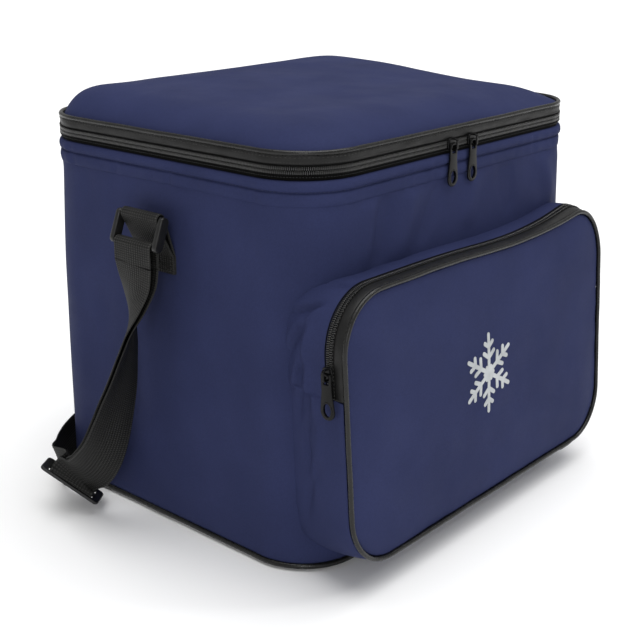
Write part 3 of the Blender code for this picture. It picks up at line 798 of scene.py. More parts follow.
def build_turn(side, word):
    """The strap's turn round the ring's lower bar."""
    ends = [strap_start(side, False), strap_start(side, True)]
    turn = turn_points(RING_LOW_BAR, side, 0, 180, 16)
    down = Vector((0, 0, -1))
    first = [ends[0] + down * 0.0004, ends[0].lerp(turn[0], 0.35), ends[0].lerp(turn[0], 0.7)]
    last = [turn[-1].lerp(ends[1], 0.3), turn[-1].lerp(ends[1], 0.65), ends[1] + down * 0.0004]
    across = Vector((0, 1, 0))
    piece = ribbon(f"strap_loop_{word}", [(p, across) for p in first + turn + last])
    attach(piece, f"ring_{word}")
    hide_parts(f"strap_turn_{word}")


def build_tab(side, word):
    """The tab: sewn down at its foot, folded over the ring's upper bar, its raw end stitched flat."""
    across = Vector((0, 1, 0))
    low, high = TAB_SEWN
    wall = WIDTH / 2 * growth(low) + 0.0014
    inner = [Vector((side * wall, TAB_Y, z)) for z in np.linspace(low, high, 6)]
    outer = [Vector((side * (wall + TAB_GAP), TAB_Y, z)) for z in np.linspace(high, low, 6)]
    lean = math.degrees(math.atan2(RING_BAR[0] - wall, RING_BAR[1] - high))
    fold = turn_points(RING_BAR, side, 180 - lean, -lean, 14)
    rise = [inner[-1].lerp(fold[0], t) for t in (0.25, 0.5, 0.75)]
    fall = [fold[-1].lerp(outer[0], t) for t in (0.25, 0.5, 0.75)]
    tab = ribbon(f"side_tab_webbing_{word}", [(p, across) for p in inner + rise + fold + fall + outer])
    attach(tab, "root")
    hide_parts(f"side_tab_{word}")
    face = side * (wall + TAB_GAP + WEBBING_THICK / 2)
    half, foot, head = WEBBING / 2 - 0.0030, low + 0.002, high + 0.001
    box = [(-half, foot), (half, foot), (half, head), (-half, head), (-half, foot), (half, head)]
    line = np.array([(face, TAB_Y + y, z) for y, z in box])
    places, ahead, _ = along_line(line, 0.0027)
    out = np.tile([float(side), 0, 0], (len(places), 1))
    size = (0.0021, 0.0006, 0.0006)
    sewn = repeat(f"side_tab_stitches_{word}", places, ahead, out, size, "black_thread")
    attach(sewn, "root")


def build_ring(side, word):
    """The rectangular plastic ring: two round bars between two deep, rounded sides."""
    span = math.dist(RING_BAR, RING_LOW_BAR)
    reach = WEBBING / 2 + 0.0010 + RING_SIDE
    lean = math.atan2(RING_LOW_BAR[0] - RING_BAR[0], RING_BAR[1] - RING_LOW_BAR[1])
    hinge = Matrix.Translation((side * RING_BAR[0], TAB_Y, RING_BAR[1]))
    hinge = hinge @ Matrix.Rotation(side * -lean, 4, "Y")
    tall = span + RING_BAR_SIZE + 0.0006
    upright = Matrix.Rotation(math.pi / 2, 4, "X")
    parts = []
    for end in (1, -1):
        outline_points = round_box(-RING_DEEP / 2, RING_DEEP / 2, -tall / 2, tall / 2, 0.0034)
        side_bar = flat_shape([outline_points], RING_SIDE, 0.0012, 4)
        place = Matrix.Translation((0, end * (reach - RING_SIDE / 2), -span / 2))
        parts.append((side_bar, hinge @ place @ upright))
    half = RING_BAR_SIZE / 2
    for z in (0.0, -span):
        bar = flat_shape([round_box(-half, half, -half, half, 0.0013)], 2 * reach - RING_SIDE, 0.0002, 1)
        parts.append((bar, hinge @ Matrix.Translation((0, 0, z)) @ upright))
    ring = joined(f"ring_{word}_moulding", parts, "black_plastic")
    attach(ring, f"ring_{word}")
    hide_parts(f"strap_ring_{word}")


def build_tri_glide():
    """A moulded buckle of three bars, its edges rounded."""
    half_x, half_y, bar = 0.0265, 0.0125, 0.0032
    outer = round_box(-half_x, half_x, -half_y, half_y, 0.004)
    half_slot = WEBBING / 2 + 0.0008
    slots = ((bar / 2, half_y - bar), (bar - half_y, -bar / 2))
    holes = [round_box(-half_slot, half_slot, low, high, 0.001) for low, high in slots]
    mesh = flat_shape([outer, *holes], 0.0026, 0.0008, 3)
    normal = GLIDE_ACROSS.cross(GLIDE_ALONG).normalized()
    along = normal.cross(GLIDE_ACROSS)
    matrix = Matrix.Translation(GLIDE_CENTRE) @ Matrix([GLIDE_ACROSS, along, normal]).transposed().to_4x4()
    glide = joined("tri_glide_moulding", [(mesh, matrix)], "black_plastic")
    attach(glide, "root")
    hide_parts("tri_glide")
    return glide


# ---------------------------------------------------------------- body

def fullness(share):
    """0 at the upright corners, 1 in the middle of each side."""
    point, _ = outline(share, WIDTH / 2, DEPTH / 2, CORNER)
    side = np.clip(1 - (np.abs(point[:, 0]) / (WIDTH / 2)) ** 6, 0, 1)
    front = np.clip(1 - (np.abs(point[:, 1]) / (DEPTH / 2)) ** 6, 0, 1)
    return np.maximum(side * front, np.where(np.abs(point[:, 1]) > DEPTH / 2 - 1e-4, side, front) ** 2)


# Soft folds of the cloth on the front, above the pocket: middle X and Z, half length, half width, lean in
# degrees from upright, and height
SHELL_FOLDS = [
    (-0.096, 0.245, 0.026, 0.007, 14, -0.0033),
    (-0.112, 0.246, 0.024, 0.008, 6, 0.0027),
    (-0.070, 0.243, 0.030, 0.011, 24, 0.0033),
    (-0.040, 0.246, 0.022, 0.008, 32, -0.0027),
    (0.012, 0.248, 0.020, 0.010, 20, 0.0024),
    (0.060, 0.248, 0.020, 0.008, -18, -0.0024),
    (0.120, 0.246, 0.022, 0.009, -26, 0.0027),
]


def build_shell():
    """The body's cloth: slightly blown out between its corners, drawn in at both seams, with soft folds."""
    full = fullness(AROUND)
    foot, wall = np.linspace(SHELL_BOTTOM, 0.018, 8), np.linspace(0.021, 0.252, 76)
    head = np.linspace(0.2545, HEM_BOTTOM - 0.0002, 9)
    rows = []
    for z in [*foot, *wall, *head]:
        row, out = body_row(AROUND, z)
        rise = (z - SHELL_BOTTOM) / (HEM_BOTTOM - SHELL_BOTTOM)
        puff = 0.0010 * full * math.sin(math.pi * rise) ** 0.8
        seam = -0.0010 * math.exp(-(z - SHELL_BOTTOM) / 0.0030)
        soft = 0.0017 * ripple(row, (0.070, 0.070, 0.12), 3.1)
        fine = 0.00065 * ripple(row, (0.022, 0.022, 0.050), 7.7)
        near_hem = math.exp(-(HEM_BOTTOM - z) / 0.020)
        tucks = 0.0011 * near_hem * ripple(row, (0.013, 0.013, 0.09), 11.3)
        facing = smooth(-out[:, 1] / 0.5)
        for x0, z0, half, width, turn, depth in SHELL_FOLDS:
            c, s = math.cos(math.radians(turn)), math.sin(math.radians(turn))
            beside, along = (row[:, 0] - x0) * c - (z - z0) * s, (row[:, 0] - x0) * s + (z - z0) * c
            tucks += depth * facing * np.exp(-((along / half) ** 4)) * np.exp(-((beside / width) ** 2))
        near_base = math.exp(-(z - SHELL_BOTTOM) / 0.016)
        gathers = 0.0007 * near_base * ripple(row, (0.016, 0.016, 0.07), 5.9)
        tucks = tucks * smooth((HEM_BOTTOM - z) / 0.008) + gathers
        fade = smooth((HEM_BOTTOM - z) / 0.012) * smooth((z - 0.004) / 0.012)
        shift = puff + seam + (soft + fine) * fade + tucks
        rows.append(row + out * np.maximum(shift, DEEPEST)[:, None])
    shell = thicken(grid("outer_shell_cloth", rows, "navy_nylon"), 0.0008)
    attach(shell, "root")
    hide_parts("outer_shell")


def build_hem():
    """The padded rim: two puffy rolls with a stitched groove between them, gathered in small tucks."""
    dice = np.random.default_rng(5)
    tucks = 34
    tuck_at = (np.arange(tucks) + dice.uniform(-0.35, 0.35, tucks)) / tucks
    tuck_lean = dice.uniform(-0.45, 0.45, tucks)
    tuck_depth = dice.uniform(0.2, 1.0, tucks)
    height = HEM_TOP - HEM_BOTTOM
    rows = []
    for t in [*np.linspace(-0.35, 0.42, 16), *np.linspace(0.45, 0.59, 8), *np.linspace(0.62, 1, 13)]:
        z = HEM_BOTTOM + t * height
        row, out = body_row(AROUND, z)
        lower = t < HEM_GROOVE
        part = (t + 0.10) / (HEM_GROOVE + 0.10) if lower else (t - HEM_GROOVE) / (1 - HEM_GROOVE)
        roll = max(math.sin(math.pi * max(part, 0.0)), 0.0) ** 0.6
        lift = (0.0008 if lower else 0.0018) * roll - 0.0017 * float(smooth(-t / 0.25)) + 0.0003
        shift = np.full(len(AROUND), lift - 0.0010 * math.exp(-(((t - HEM_GROOVE) / 0.05) ** 2)))
        for at, lean, depth in zip(tuck_at, tuck_lean, tuck_depth):
            gap = ((AROUND - at + 0.5) % 1.0 - 0.5) * PERIMETER - lean * (z - HEM_BOTTOM)
            shift -= 0.0010 * depth * roll * np.exp(-((gap / 0.0024) ** 2))
            shift += 0.0005 * depth * roll * np.exp(-(((np.abs(gap) - 0.0060) / 0.0035) ** 2))
        shift += 0.0009 * roll * ripple(row, (0.016, 0.016, 0.010), 2.2)
        rows.append(row + out * np.maximum(shift, DEEPEST - 0.0005)[:, None])
    over = [(HEM_TOP + 0.0001, 0.0012), (HEM_TOP + 0.0002, 0.0050), (HEM_TOP, 0.0095)]
    for z, inset in [*over, (HEM_BOTTOM + 0.001, 0.0095), (HEM_BOTTOM, 0.006)]:
        rows.append(body_row(AROUND, z, inset)[0])
    hem = grid("top_hem_cloth", rows, "navy_nylon", round_rows=True)
    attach(hem, "root")
    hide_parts("top_hem")
    line, out = body_row(np.linspace(0, 1, 900), HEM_BOTTOM + HEM_GROOVE * height)
    stitch_row("hem_stitches", line + out * -0.0005, out, 0.0030, "navy_thread", "root")


def stitch_row(name, line, outward, pitch, look, body, size=(0.0022, 0.0005, 0.0005)):
    """A row of stitches along a line on cloth whose outward directions are given."""
    places, ahead, at = along_line(line, pitch)
    out = lookup(at, np.linspace(0, 1, len(outward)), outward)
    out /= np.linalg.norm(out, axis=1)[:, None]
    piece = repeat(name, places, ahead, out, size, look)
    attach(piece, body)


def build_base_piping():
    """The round vinyl cord in the seam between body and base."""
    share = np.linspace(0, 1, 420, endpoint=False)
    middle, out = body_row(share, 0.0036, 0.0016)
    middle = middle + out * (0.0004 * ripple(middle, 0.03, 1.0))[:, None]
    piping = rope("base_piping_cord", middle, out, np.tile(UP, (len(share), 1)), 0.0021, "black_piping")
    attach(piping, "root")
    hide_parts("base_piping")


def build_liner():
    """The foil bag inside: crinkled, and bound at its rim."""
    inset = 0.0099
    share = np.linspace(0, 1, 300, endpoint=False)
    rows = []
    for z in np.linspace(0.0150, 0.2836, 60):
        row, out = body_row(share, z, inset)
        fade = smooth((0.2836 - z) / 0.03) * smooth((z - 0.012) / 0.02)
        crinkle = 0.0010 * ripple(row, (0.03, 0.03, 0.05), 4.0) + 0.0006 * ripple(row, 0.012, 9.0)
        rows.append(row - out * (0.0011 + np.maximum(crinkle, -0.0006) * fade)[:, None])
    edge = rows[0]
    scales = (0.985, 0.90, 0.75, 0.55, 0.35, 0.15)
    floor = [edge * np.array([s, s, 1]) + UP * 0.0002 for s in scales]
    floor = [row + UP * (0.0007 * ripple(row, 0.025, 6.0) + 0.0006)[:, None] for row in floor]
    liner = grid("inner_liner_foil", floor[::-1] + rows, "silver_liner", flip=True)
    fill_holes(liner.data, height=0.1)
    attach(liner, "root")
    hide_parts("inner_liner")
    middle, out = body_row(share, HEM_TOP + 0.0006, 0.0103)
    angles = np.linspace(0, 2 * math.pi, 10, endpoint=False)
    section_rows = [middle + 0.0017 * math.cos(a) * out + 0.0011 * math.sin(a) * UP for a in angles]
    binding = grid("rim_binding", np.stack(section_rows, 1), "coated_band", round_rows=True)
    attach(binding, "root")


# ---------------------------------------------------------------- lid and its zip

def zip_share():
    """The part of the outline, as shares from the front's middle, that the zip follows."""
    gap = ZIP_BACK / PERIMETER
    return 0.5 + gap, 1.5 - gap


def teeth_row(name, line, out, pitch, shift, reach, size, sink=0.0):
    """A row of zip teeth along a line, moved by reach towards its other half and sunk into its tape."""
    places, ahead, at = along_line(line, pitch, shift)
    outward = lookup(at, np.linspace(0, 1, len(out)), out)
    places = places + reach + outward * -sink
    return repeat(name, places, ahead, outward, size, "black_coil", "tooth")


def build_lid_zip():
    """The lid's two rows of teeth, each with the cord they are sewn over and its row of stitches."""
    start, end = zip_share()
    share = np.linspace(start, end, 1500)
    for name, node, z, reach, shift, body in (
        ("body_coil", "body_zip_chain", ZIP_LOW, 0.00035, 0.0, "root"),
        ("lid_coil", "lid_zip_chain", ZIP_HIGH, -0.00035, 0.5, "lid"),
    ):
        line, out = body_row(share, z)
        teeth = teeth_row(name, line, out, 0.00135, shift, UP * reach, (0.00095, 0.0018, 0.0030), 0.0001)
        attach(teeth, body)
        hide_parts(node)
        cord_z = z + (-0.0014 if body == "root" else 0.0014)
        middle, out = body_row(np.linspace(start, end, 600), cord_z, -0.0006)
        up = np.tile(UP, (len(middle), 1))
        cord = rope(f"{name}_cord", middle, out, up, 0.00035, "black_tape", closed=False, sides=6)
        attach(cord, body)
        stitch_z = z + (-0.0026 if body == "root" else 0.0032)
        line, out = body_row(np.linspace(start, end, 1200), stitch_z, -0.0002)
        size = (0.0015, 0.0005, 0.0004)
        stitch_row(f"{name}_stitches", line, out, 0.0021, "black_thread", body, size)


def build_lid_band():
    """The coated band between the zip and the lid's piping, a little slack, stitched under the piping."""
    low, high = 0.2939, LID_SEAM + 0.0010
    rows = []
    for t in np.linspace(0, 1, 12):
        z = low + t * (high - low)
        row, out = body_row(AROUND, z)
        slack = 0.0006 * math.sin(math.pi * t) ** 0.7
        wave = 0.0006 * math.sin(math.pi * t) * ripple(row, (0.020, 0.020, 0.006), 8.0)
        rows.append(row + out * (slack + wave - 0.0002)[:, None])
    side = thicken(grid("lid_side_band_cloth", rows, "coated_band"), 0.0009)
    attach(side, "lid")
    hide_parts("lid_side_band")
    line, out = body_row(np.linspace(0, 1, 900), LID_SEAM - 0.0008, -0.0003)
    size = (0.0021, 0.0006, 0.0005)
    stitch_row("lid_band_stitches", line, out, 0.0031, "black_thread", "lid", size)


def lid_height(inset, at):
    """Height of the lid's cloth: full at the back, and flatter towards the front of the right-hand side."""
    x, y = at[:, 0], at[:, 1]
    flat = smooth((x - 0.010) / 0.140) * smooth((0.060 - y) / 0.190)
    rise = LID_RISE + 0.0040 * smooth((y + 0.06) / 0.16)
    turn = 0.0110 + 0.030 * flat  # how far in the cloth keeps rising
    return LID_SEAM + PIPING_RADIUS - 0.0005 + rise * (1 - np.exp(-(inset - LID_EDGE) / turn))


def build_lid_panel():
    """The padded top: drawn down at its seam, soft and nearly level in the middle."""
    insets = list(np.linspace(0.0030, 0.012, 11)) + list(np.linspace(0.0135, LID_CROWN, 16))
    rows = []
    for inset in insets:
        row, _ = body_row(AROUND, LID_SEAM, inset)
        row[:, 2] = lid_height(max(inset, LID_EDGE), row)
        rows.append(row)
    rim = rows[-1]
    for s in np.linspace(0.97, 0.03, 34):
        row = rim * np.array([s, s, 1])
        row[:, 2] = lid_height(LID_CROWN + 0.1 * (1 - s), row)
        rows.append(row)
    shaped = []
    for i, row in enumerate(rows):
        inset = insets[i] if i < len(insets) else LID_CROWN + (i - len(insets)) * 0.004
        pucker = 0.0007 * math.exp(-(inset - 0.003) / 0.010) * ripple(row, (0.014, 0.014, 0.5), 2.7)
        soft = 0.0016 * ripple(row, (0.11, 0.09, 0.5), 5.2) + 0.0004 * ripple(row, (0.035, 0.045, 0.5), 1.4)
        row[:, 2] += pucker + soft * smooth((inset - 0.003) / 0.03)
        shaped.append(row)
    panel = thicken(grid("lid_panel_cloth", shaped, "navy_nylon", cap=True), 0.0008)
    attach(panel, "lid")
    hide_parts("lid_panel")


def wander(middle, out, up):
    """A piping's middle line, a little uneven in both directions across it."""
    aside, rise = 0.0004 * ripple(middle, 0.03, 3.0), 0.0003 * ripple(middle, 0.04, 6.0)
    return middle + out * aside[:, None] + up * rise[:, None]


def build_lid_piping():
    """The round vinyl cord in the seam of the lid's top."""
    share = np.linspace(0, 1, 480, endpoint=False)
    middle, out = body_row(share, LID_SEAM + PIPING_RADIUS, 0.0008)
    middle = wander(middle, out, UP)
    radius = PIPING_RADIUS * (0.88 + 0.06 * ripple(middle, 0.01, 2.0))
    up = np.tile(UP, (len(share), 1))
    piping = rope("lid_piping_cord", middle, out, up, radius, "black_piping", sides=12)
    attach(piping, "lid")
    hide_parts("lid_piping")


def build_hinge_cloth():
    """The stretch of the back without a zip, one piece of cloth."""
    half = ZIP_BACK + 0.004
    x = np.linspace(half, -half, 80)
    rows = []
    for z in np.linspace(HINGE_LOW, HINGE_HIGH, 14):
        y = DEPTH / 2 - 0.0002 + 0.0006 * math.sin(math.pi * (z - HINGE_LOW) / (HINGE_HIGH - HINGE_LOW))
        rows.append(np.column_stack([x, np.full(len(x), y), np.full(len(x), z)]))
    cloth = grid("back_hinge_cloth", rows, "coated_band", round_columns=False)
    thicken(cloth, 0.0009)
    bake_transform(cloth)
    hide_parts("back_hinge_strip")


def build_lid_liner():
    """The lid's foil: one quilted cross of heat seals."""
    share = np.linspace(0, 1, 260, endpoint=False)
    rows = [body_row(share, LID_LINER_Z + z, 0.0013)[0] for z in (0.0045, 0.0004)]
    for s in np.linspace(1.0, 0.03, 46):
        row, _ = body_row(share, LID_LINER_Z, 0.0016)
        row = row * np.array([s, s, 1])
        seal = np.minimum(np.abs(np.abs(row[:, 0]) - 0.057), np.abs(row[:, 1]))
        quilt = 0.0004 * np.exp(-((seal / 0.003) ** 2))
        row[:, 2] += quilt + 0.0002 * ripple(row, (0.02, 0.02, 1), 3.3) - 0.0002
        rows.append(row)
    liner = thicken(grid("lid_liner_foil", rows, "silver_liner", cap=True, flip=True), 0.0004)
    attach(liner, "lid")
    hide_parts("lid_liner")


# ---------------------------------------------------------------- zip sliders

def build_slider(name, node, body, matrix, outer, inner, upright):
    """A slider in its own frame, Y into the bag and Z up: shield plate, back plate, post and bridge."""
    half_long, half_broad, thick = 0.0050, 0.0043, 0.0014
    w, h = (half_broad, half_long) if upright else (half_long, half_broad)
    face = Matrix.Rotation(math.pi / 2, 4, "X")
    shield = flat_shape([round_box(-w, w, -h, h, 0.0026)], thick, 0.0005, 3)
    back = flat_shape([round_box(-w * 0.8, w * 0.8, -h * 0.55, h * 0.55, 0.0012)], 0.0012, 0.0004, 2)
    post = flat_shape([round_box(-0.0010, 0.0010, -0.0010, 0.0010, 0.0004)], inner - outer + 0.001, 0.0002, 1)
    over = [*arc(-0.0024, 0.0030, 0.0018, 180, 90), *arc(0.0024, 0.0030, 0.0018, 90, 0)]
    under = [*arc(0.0022, 0.0028, 0.0010, 0, 90), *arc(-0.0022, 0.0028, 0.0010, 90, 180)]
    arch = [(-0.0042, 0.0), *over, (0.0042, 0.0), (0.0032, 0.0), *under, (-0.0032, 0.0)]
    bridge = flat_shape([arch], 0.0020, 0.00035, 2)
    stand = Matrix(((0, 0, 1, 0), (0, -1, 0, outer - thick + 0.0002), (1, 0, 0, 0), (0, 0, 0, 1)))
    parts = [
        (shield, Matrix.Translation((0, outer - thick / 2, 0)) @ face),
        (back, Matrix.Translation((0, inner + 0.0006, 0)) @ face),
        (post, Matrix.Translation((0, (inner + outer) / 2, 0)) @ face),
        (bridge, stand),
    ]
    slider = joined(name, [(mesh, matrix @ place) for mesh, place in parts], "black_metal")
    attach(slider, body)
    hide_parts(node)


def oval(rx, ry, middle):
    """The outline of an oval, its middle on the Y axis."""
    angles = np.linspace(0, 2 * math.pi, 32, endpoint=False)
    return [(rx * math.cos(a), middle + ry * math.sin(a)) for a in angles]


def build_pull(name, node, body, matrix):
    """The pull tab: a square eye round the bridge, a narrow neck and a rounded foot with an oval hole."""
    wide, long, eye_top, eye_round = 0.0059, 0.0310, -0.0002, 0.0010
    foot = arc(0, -long + wide, wide, 180, 360, 16)
    left = [(-0.0043, eye_top), (-0.0043, -0.0080), (-0.0042, -0.0110), (-0.0052, -0.0185)]
    right = [(-x, z) for x, z in reversed(left)]
    first, last = arc(-0.0033, eye_top, eye_round, 90, 180, 3), arc(0.0033, eye_top, eye_round, 0, 90, 3)
    outer = first + left + foot + right + last
    window = round_box(-0.0022, 0.0022, -0.0064, -0.0006, 0.0006)
    hole = oval(0.0031, 0.0046, -0.0240)
    tab = flat_shape([outer, window, hole], 0.0014, 0.00045, 3)
    rim = flat_shape([oval(0.0046, 0.0061, -0.0243), hole], 0.0020, 0.0004, 2)
    face = Matrix.Rotation(math.pi / 2, 4, "X")
    pull = joined(name, [(tab, matrix @ face), (rim, matrix @ face)], "black_metal")
    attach(pull, body)
    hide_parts(node)


def build_sliders():
    """The lid's two sliders and the pocket's one, each with its pull."""
    for word, x in LID_SLIDER_X.items():
        matrix = Matrix.Translation((x, -DEPTH / 2, (ZIP_LOW + ZIP_HIGH) / 2))
        node = f"lid_slider_{word}"
        build_slider(f"{node}_casting", node, node, matrix, -0.0010, 0.0020, False)
        hang = matrix @ Matrix.Translation((0, -0.0033, 0))
        build_pull(f"lid_pull_{word}_tab", f"lid_pull_{word}", f"lid_pull_{word}", hang)
    pocket = Matrix.Translation((POCKET_X, *POCKET_BASE)) @ Matrix.Rotation(-POCKET_LEAN, 4, "X")
    place = Matrix.Translation((-POCKET_HALF, POCKET_SLIDER_DEPTH, POCKET_SLIDER_HEIGHT))
    matrix = pocket @ place @ Matrix.Rotation(-math.pi / 2, 4, "Z")
    build_slider("pocket_slider_casting", "pocket_slider", "pocket_slider", matrix, -0.0004, 0.0026, True)
    build_pull("pocket_pull_tab", "pocket_pull", "pocket_pull", matrix @ Matrix.Translation((0, -0.0028, 0)))


# ---------------------------------------------------------------- front pocket

def body_distance(points):
    """How far points are outside the bag's body."""
    x, y, z = np.asarray(points).T
    k = 1 + BASE_GROWTH * (1 - np.clip(z, 0, HEM_TOP) / HEM_TOP)  # growth(), for many heights
    r = CORNER * k
    qx, qy = np.abs(x) - (WIDTH / 2 * k - r), np.abs(y) - (DEPTH / 2 * k - r)
    return np.hypot(np.maximum(qx, 0), np.maximum(qy, 0)) + np.minimum(np.maximum(qx, qy), 0) - r


# Folds of the pocket's side wall: middle as (share of the outline, share of its depth), half length and half
# width in metres, turn from the front-to-back line in degrees, and height
GUSSET_FOLDS = [
    ((0.668, 0.80), 0.022, 0.0032, 30, -0.0051),
    ((0.679, 0.70), 0.024, 0.0036, 52, 0.0045),
    ((0.690, 0.78), 0.026, 0.0034, 62, -0.0054),
    ((0.702, 0.62), 0.026, 0.0040, 66, 0.0051),
    ((0.716, 0.70), 0.028, 0.0034, 74, -0.0051),
    ((0.731, 0.52), 0.028, 0.0045, 80, 0.0045),
    ((0.748, 0.62), 0.030, 0.0038, 84, -0.0045),
    ((0.768, 0.50), 0.030, 0.0048, 80, 0.0033),
    ((0.792, 0.62), 0.026, 0.0042, 72, -0.0033),
    ((0.640, 0.70), 0.020, 0.0036, 20, -0.0033),
    ((0.300, 0.55), 0.026, 0.0040, 105, -0.0042),
    ((0.285, 0.50), 0.024, 0.0045, 112, 0.0039),
    ((0.268, 0.60), 0.026, 0.0040, 104, -0.0033),
    ((0.322, 0.60), 0.022, 0.0038, 130, -0.0036),
    ((0.900, 0.55), 0.020, 0.0045, 60, -0.0024),
    ((0.104, 0.55), 0.020, 0.0045, 120, -0.0024),
]


def build_gusset():
    """The pocket's side wall, from the zip or the piping back to the body."""
    share = np.linspace(0, 1, 460, endpoint=False)
    deep = POCKET_HEIGHT / 2
    edge, out2 = outline(share, POCKET_HALF - 0.0012, deep - 0.0012, POCKET_CORNER - 0.0012)
    height = edge[:, 1] + deep
    front_depth = 0.0045 + 0.0127 * smooth((height - POCKET_SPLIT + 0.0008) / 0.0016)
    front = np.column_stack([edge[:, 0], front_depth, height])
    narrow = 1 - 0.0115 / POCKET_HALF
    square, _ = outline(share, POCKET_HALF * narrow, deep * 1.03, 0.020)
    far_depth = np.full(len(share), 0.085)
    far = np.column_stack([square[:, 0] + 0.005, far_depth, square[:, 1] + deep * 1.03 - 0.0030])
    a, b = pocket_world(front), pocket_world(far)
    low, high = np.zeros(len(share)), np.ones(len(share))
    for _ in range(30):
        middle = (low + high) / 2
        outside = body_distance(a + (b - a) * middle[:, None]) > -0.0008
        low, high = np.where(outside, middle, low), np.where(outside, high, middle)
    reach = low
    out = pocket_turn(np.column_stack([out2[:, 0], np.zeros(len(share)), out2[:, 1]]))
    perimeter = 4 * (POCKET_HALF + deep) - (8 - 2 * math.pi) * POCKET_CORNER
    length = np.linalg.norm((b - a) * reach[:, None], axis=1)
    rows = []
    for t in np.linspace(1, 0, 26):
        row = a + (b - a) * (reach * t)[:, None]
        belly = math.sin(math.pi * min(max(t, 0), 1)) ** 0.7
        shift = 0.0022 * belly * smooth(length / 0.05) + 0.0010 * belly * ripple(row, (0.03, 0.03, 0.03), 4.4)
        shift += 0.0004 * belly * ripple(row, (0.012, 0.012, 0.012), 8.8)
        for (u0, v0), half, width, turn, depth in GUSSET_FOLDS:
            du = ((share - u0 + 0.5) % 1.0 - 0.5) * perimeter
            dv = (t - v0) * length
            c, s = math.cos(math.radians(turn)), math.sin(math.radians(turn))
            along, beside = dv * c + du * s, -dv * s + du * c
            bend = beside + 0.0016 * np.sin(along / 0.008)
            shift += depth * belly * np.exp(-((along / half) ** 4)) * np.exp(-np.abs(bend / width) ** 1.5)
        rows.append(row + out * shift[:, None])
    gusset = thicken(grid("pocket_gusset_cloth", rows, "navy_nylon"), 0.0008)
    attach(gusset, "root")
    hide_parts("pocket_gusset")


def flap_share():
    """The shares of the pocket's outline between the zip's two ends, going over the top."""
    share = np.linspace(0, 1, 4001)
    point, _ = outline(share, POCKET_HALF, POCKET_HEIGHT / 2, POCKET_CORNER)
    above = share[point[:, 1] + POCKET_HEIGHT / 2 > POCKET_SPLIT]
    return above.min(), above.max()


def build_pocket_zip():
    """The pocket's two rows of teeth, each with the cord they are sewn over."""
    start, end = flap_share()
    flap_depth, body_depth = POCKET_COIL_DEPTHS
    for name, node, depth, reach, shift, body in (
        ("pocket_flap_coil", "flap_zip_chain", flap_depth, 0.00035, 0.0, "pocket_flap"),
        ("pocket_body_coil", "pocket_zip_chain", body_depth, -0.00035, 0.5, "root"),
    ):
        line, out = pocket_row(np.linspace(start, end, 1200), depth, 0.0014)
        teeth = teeth_row(name, line, out, 0.00150, shift, INWARD * reach, (0.00105, 0.0018, 0.0030))
        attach(teeth, body)
        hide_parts(node)
        middle, out = pocket_row(np.linspace(start, end, 500), depth, 0.0006)
        middle = middle + INWARD * (-0.0014 if body == "pocket_flap" else 0.0014)
        up = np.tile(INWARD, (len(middle), 1))
        cord = rope(f"{name}_cord", middle, out, up, 0.00035, "black_tape", closed=False, sides=6)
        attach(cord, body)


def build_pocket_band():
    """The coated band between the pocket's zip and its piping, cut square at the zip's two ends."""
    start, end = flap_share()
    share = np.linspace(start, end, 330)
    back, front = 0.0118, 0.0034
    rows = []
    for t in np.linspace(0, 1, 12):
        depth = back + t * (front - back)
        row, out = pocket_row(share, depth, 0.0010)
        slack = 0.0006 * math.sin(math.pi * t) ** 0.7
        wave = 0.0004 * math.sin(math.pi * t) * ripple(row, (0.018, 0.018, 0.018), 8.0)
        rows.append(row + out * (slack + wave - 0.0002)[:, None])
    band = grid("pocket_band_cloth", rows, "coated_band", round_columns=False)
    thicken(band, 0.0009)
    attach(band, "pocket_flap")
    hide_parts("pocket_zip_band")
    line, out = pocket_row(np.linspace(start, end, 900), 0.0106, 0.0002)
    size = (0.0018, 0.0005, 0.0004)
    stitch_row("pocket_band_stitches", line, out, 0.0026, "black_thread", "pocket_flap", size)


def panel_depth(inset):
    """The pocket panel's depth behind the piping's front, by its distance from the edge."""
    return 0.0030 - 0.0058 * (1 - np.exp(-(inset - 0.0044) / 0.020))


def build_pocket_panel():
    """The panel: one crowned cloth over the pocket's front, across the line between the zip's two ends."""
    share = np.linspace(0, 1, 420, endpoint=False)
    insets = list(np.linspace(PANEL_EDGE, 0.014, 10)) + list(np.linspace(0.0165, PANEL_CROWN, 10))
    rows = [pocket_row(share, panel_depth(inset), inset)[0] for inset in insets]
    for s in np.linspace(0.96, 0.03, 34):
        rows.append(pocket_row(share, panel_depth(PANEL_CROWN + 0.06 * (1 - s)), PANEL_CROWN, s)[0])
    shaped = []
    for i, row in enumerate(rows):
        # the scaled rows share one centre, half way up the pocket
        inset = insets[i] if i < len(insets) else PANEL_CROWN + (i - len(insets)) * 0.003
        pucker = 0.0005 * math.exp(-(inset - PANEL_EDGE) / 0.008) * ripple(row, (0.012, 0.5, 0.012), 6.1)
        soft = 0.0012 * ripple(row, (0.10, 0.5, 0.08), 9.2) + 0.0003 * ripple(row, (0.03, 0.5, 0.04), 2.4)
        shift = pucker + soft * smooth((inset - 0.004) / 0.03)
        shaped.append(row + -INWARD * shift[:, None])
    panel = thicken(grid("pocket_panel_cloth", shaped, "navy_nylon", cap=True), 0.0008)
    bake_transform(panel)
    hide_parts("pocket_front_panel", "pocket_flap_panel")
    return panel


def build_pocket_piping():
    """The round vinyl cord round the pocket's front."""
    share = np.linspace(0, 1, 520, endpoint=False)
    middle, out = pocket_row(share, 0.0022, 0.0022)
    middle = wander(middle, out, -INWARD)
    joint = 0.115  # the two ends overlap here, at the lower right
    lap = np.exp(-(((share - joint) / 0.010) ** 4))
    middle = middle + out * (0.0007 * lap)[:, None]
    radius = PIPING_RADIUS * (0.88 + 0.06 * ripple(middle, 0.01, 2.0) + 0.18 * lap)
    inward = np.tile(INWARD, (len(share), 1))
    piping = rope("pocket_piping_cord", middle, out, inward, radius, "black_piping", sides=12)
    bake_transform(piping)
    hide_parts("pocket_front_piping", "pocket_flap_piping")


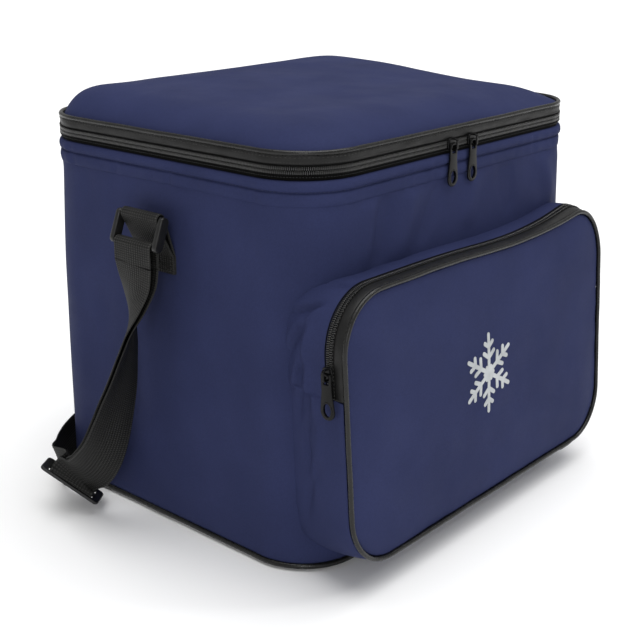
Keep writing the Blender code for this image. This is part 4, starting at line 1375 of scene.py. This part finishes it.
def branch(points, width):
    """A flat stroke with round ends along a straight line."""
    (x0, y0), (x1, y1) = points
    turn = math.degrees(math.atan2(y1 - y0, x1 - x0))
    return arc(x0, y0, width / 2, turn + 90, turn + 270) + arc(x1, y1, width / 2, turn - 90, turn + 90)


def build_emblem(panel):
    """A plain printed snow crystal on the pocket."""
    strokes = []
    for i in range(6):
        a = math.radians(60 * i + 30)
        ray = np.array([math.cos(a), math.sin(a)])
        strokes.append((ray * 0.006, ray * EMBLEM_SIZE))
        for reach, twig in ((0.40, 0.26), (0.68, 0.20)):
            foot = ray * EMBLEM_SIZE * reach
            for bend in (-55, 55):
                b = a + math.radians(bend)
                strokes.append((foot, foot + np.array([math.cos(b), math.sin(b)]) * EMBLEM_SIZE * twig))
    hexagon = arc(0, 0, 0.0072, 0, 300, 5)
    outlines = [branch(s, EMBLEM_STROKE) for s in strokes] + [hexagon]
    parts = [(flat_shape([line], 0.0006, 0.00025), Matrix.Identity(4)) for line in outlines]
    emblem = joined("front_emblem", parts, "silver_print")
    shape = bmesh.new()
    shape.from_mesh(emblem.data)
    bmesh.ops.triangulate(shape, faces=shape.faces)
    long_edges = [e for e in shape.edges if e.calc_length() > 0.004]
    bmesh.ops.subdivide_edges(shape, edges=long_edges, cuts=2)
    local = np.array([v.co for v in shape.verts])
    height = (EMBLEM_Z - POCKET_BASE[1]) / math.cos(POCKET_LEAN)
    flat = np.column_stack([local[:, 0] + EMBLEM_X - POCKET_X, np.zeros(len(local)), local[:, 1] + height])
    surface = bmesh.new()
    surface.from_mesh(panel.data)
    cloth = BVHTree.FromBMesh(surface)
    forward = Vector(-INWARD)
    for vert, point, (_, _, lift) in zip(shape.verts, pocket_world(flat), local):
        start = Vector(point) + forward * 0.05
        hit = cloth.ray_cast(start, -forward, 0.1)[0]
        vert.co = hit + forward * (lift + 0.0001)
    surface.free()
    bmesh.ops.recalc_face_normals(shape, faces=shape.faces)
    shape.to_mesh(emblem.data)
    shape.free()
    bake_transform(emblem)


# ---------------------------------------------------------------- the CAD pieces that stay

KEPT = {
    "base_panel": "navy_nylon",
    "base_board": "stiffener_board",
    "base_foam": "foam",
    "wall_foam": "foam",
    "lid_foam": "foam",
    "body_zip_tape": "black_tape",
}


def dress_kept():
    """Gives the CAD pieces that nothing replaces their looks."""
    for node, look in KEPT.items():
        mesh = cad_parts[node].data
        mesh.materials.clear()
        mesh.materials.append(LOOKS[look])


build_camera()
build_strap()
build_shell()
build_hem()
build_base_piping()
build_liner()
build_lid_zip()
build_lid_band()
build_lid_panel()
build_lid_piping()
build_hinge_cloth()
build_lid_liner()
build_sliders()
build_gusset()
build_pocket_zip()
build_pocket_band()
pocket_panel = build_pocket_panel()
build_pocket_piping()
build_emblem(pocket_panel)
dress_kept()
build_studio()
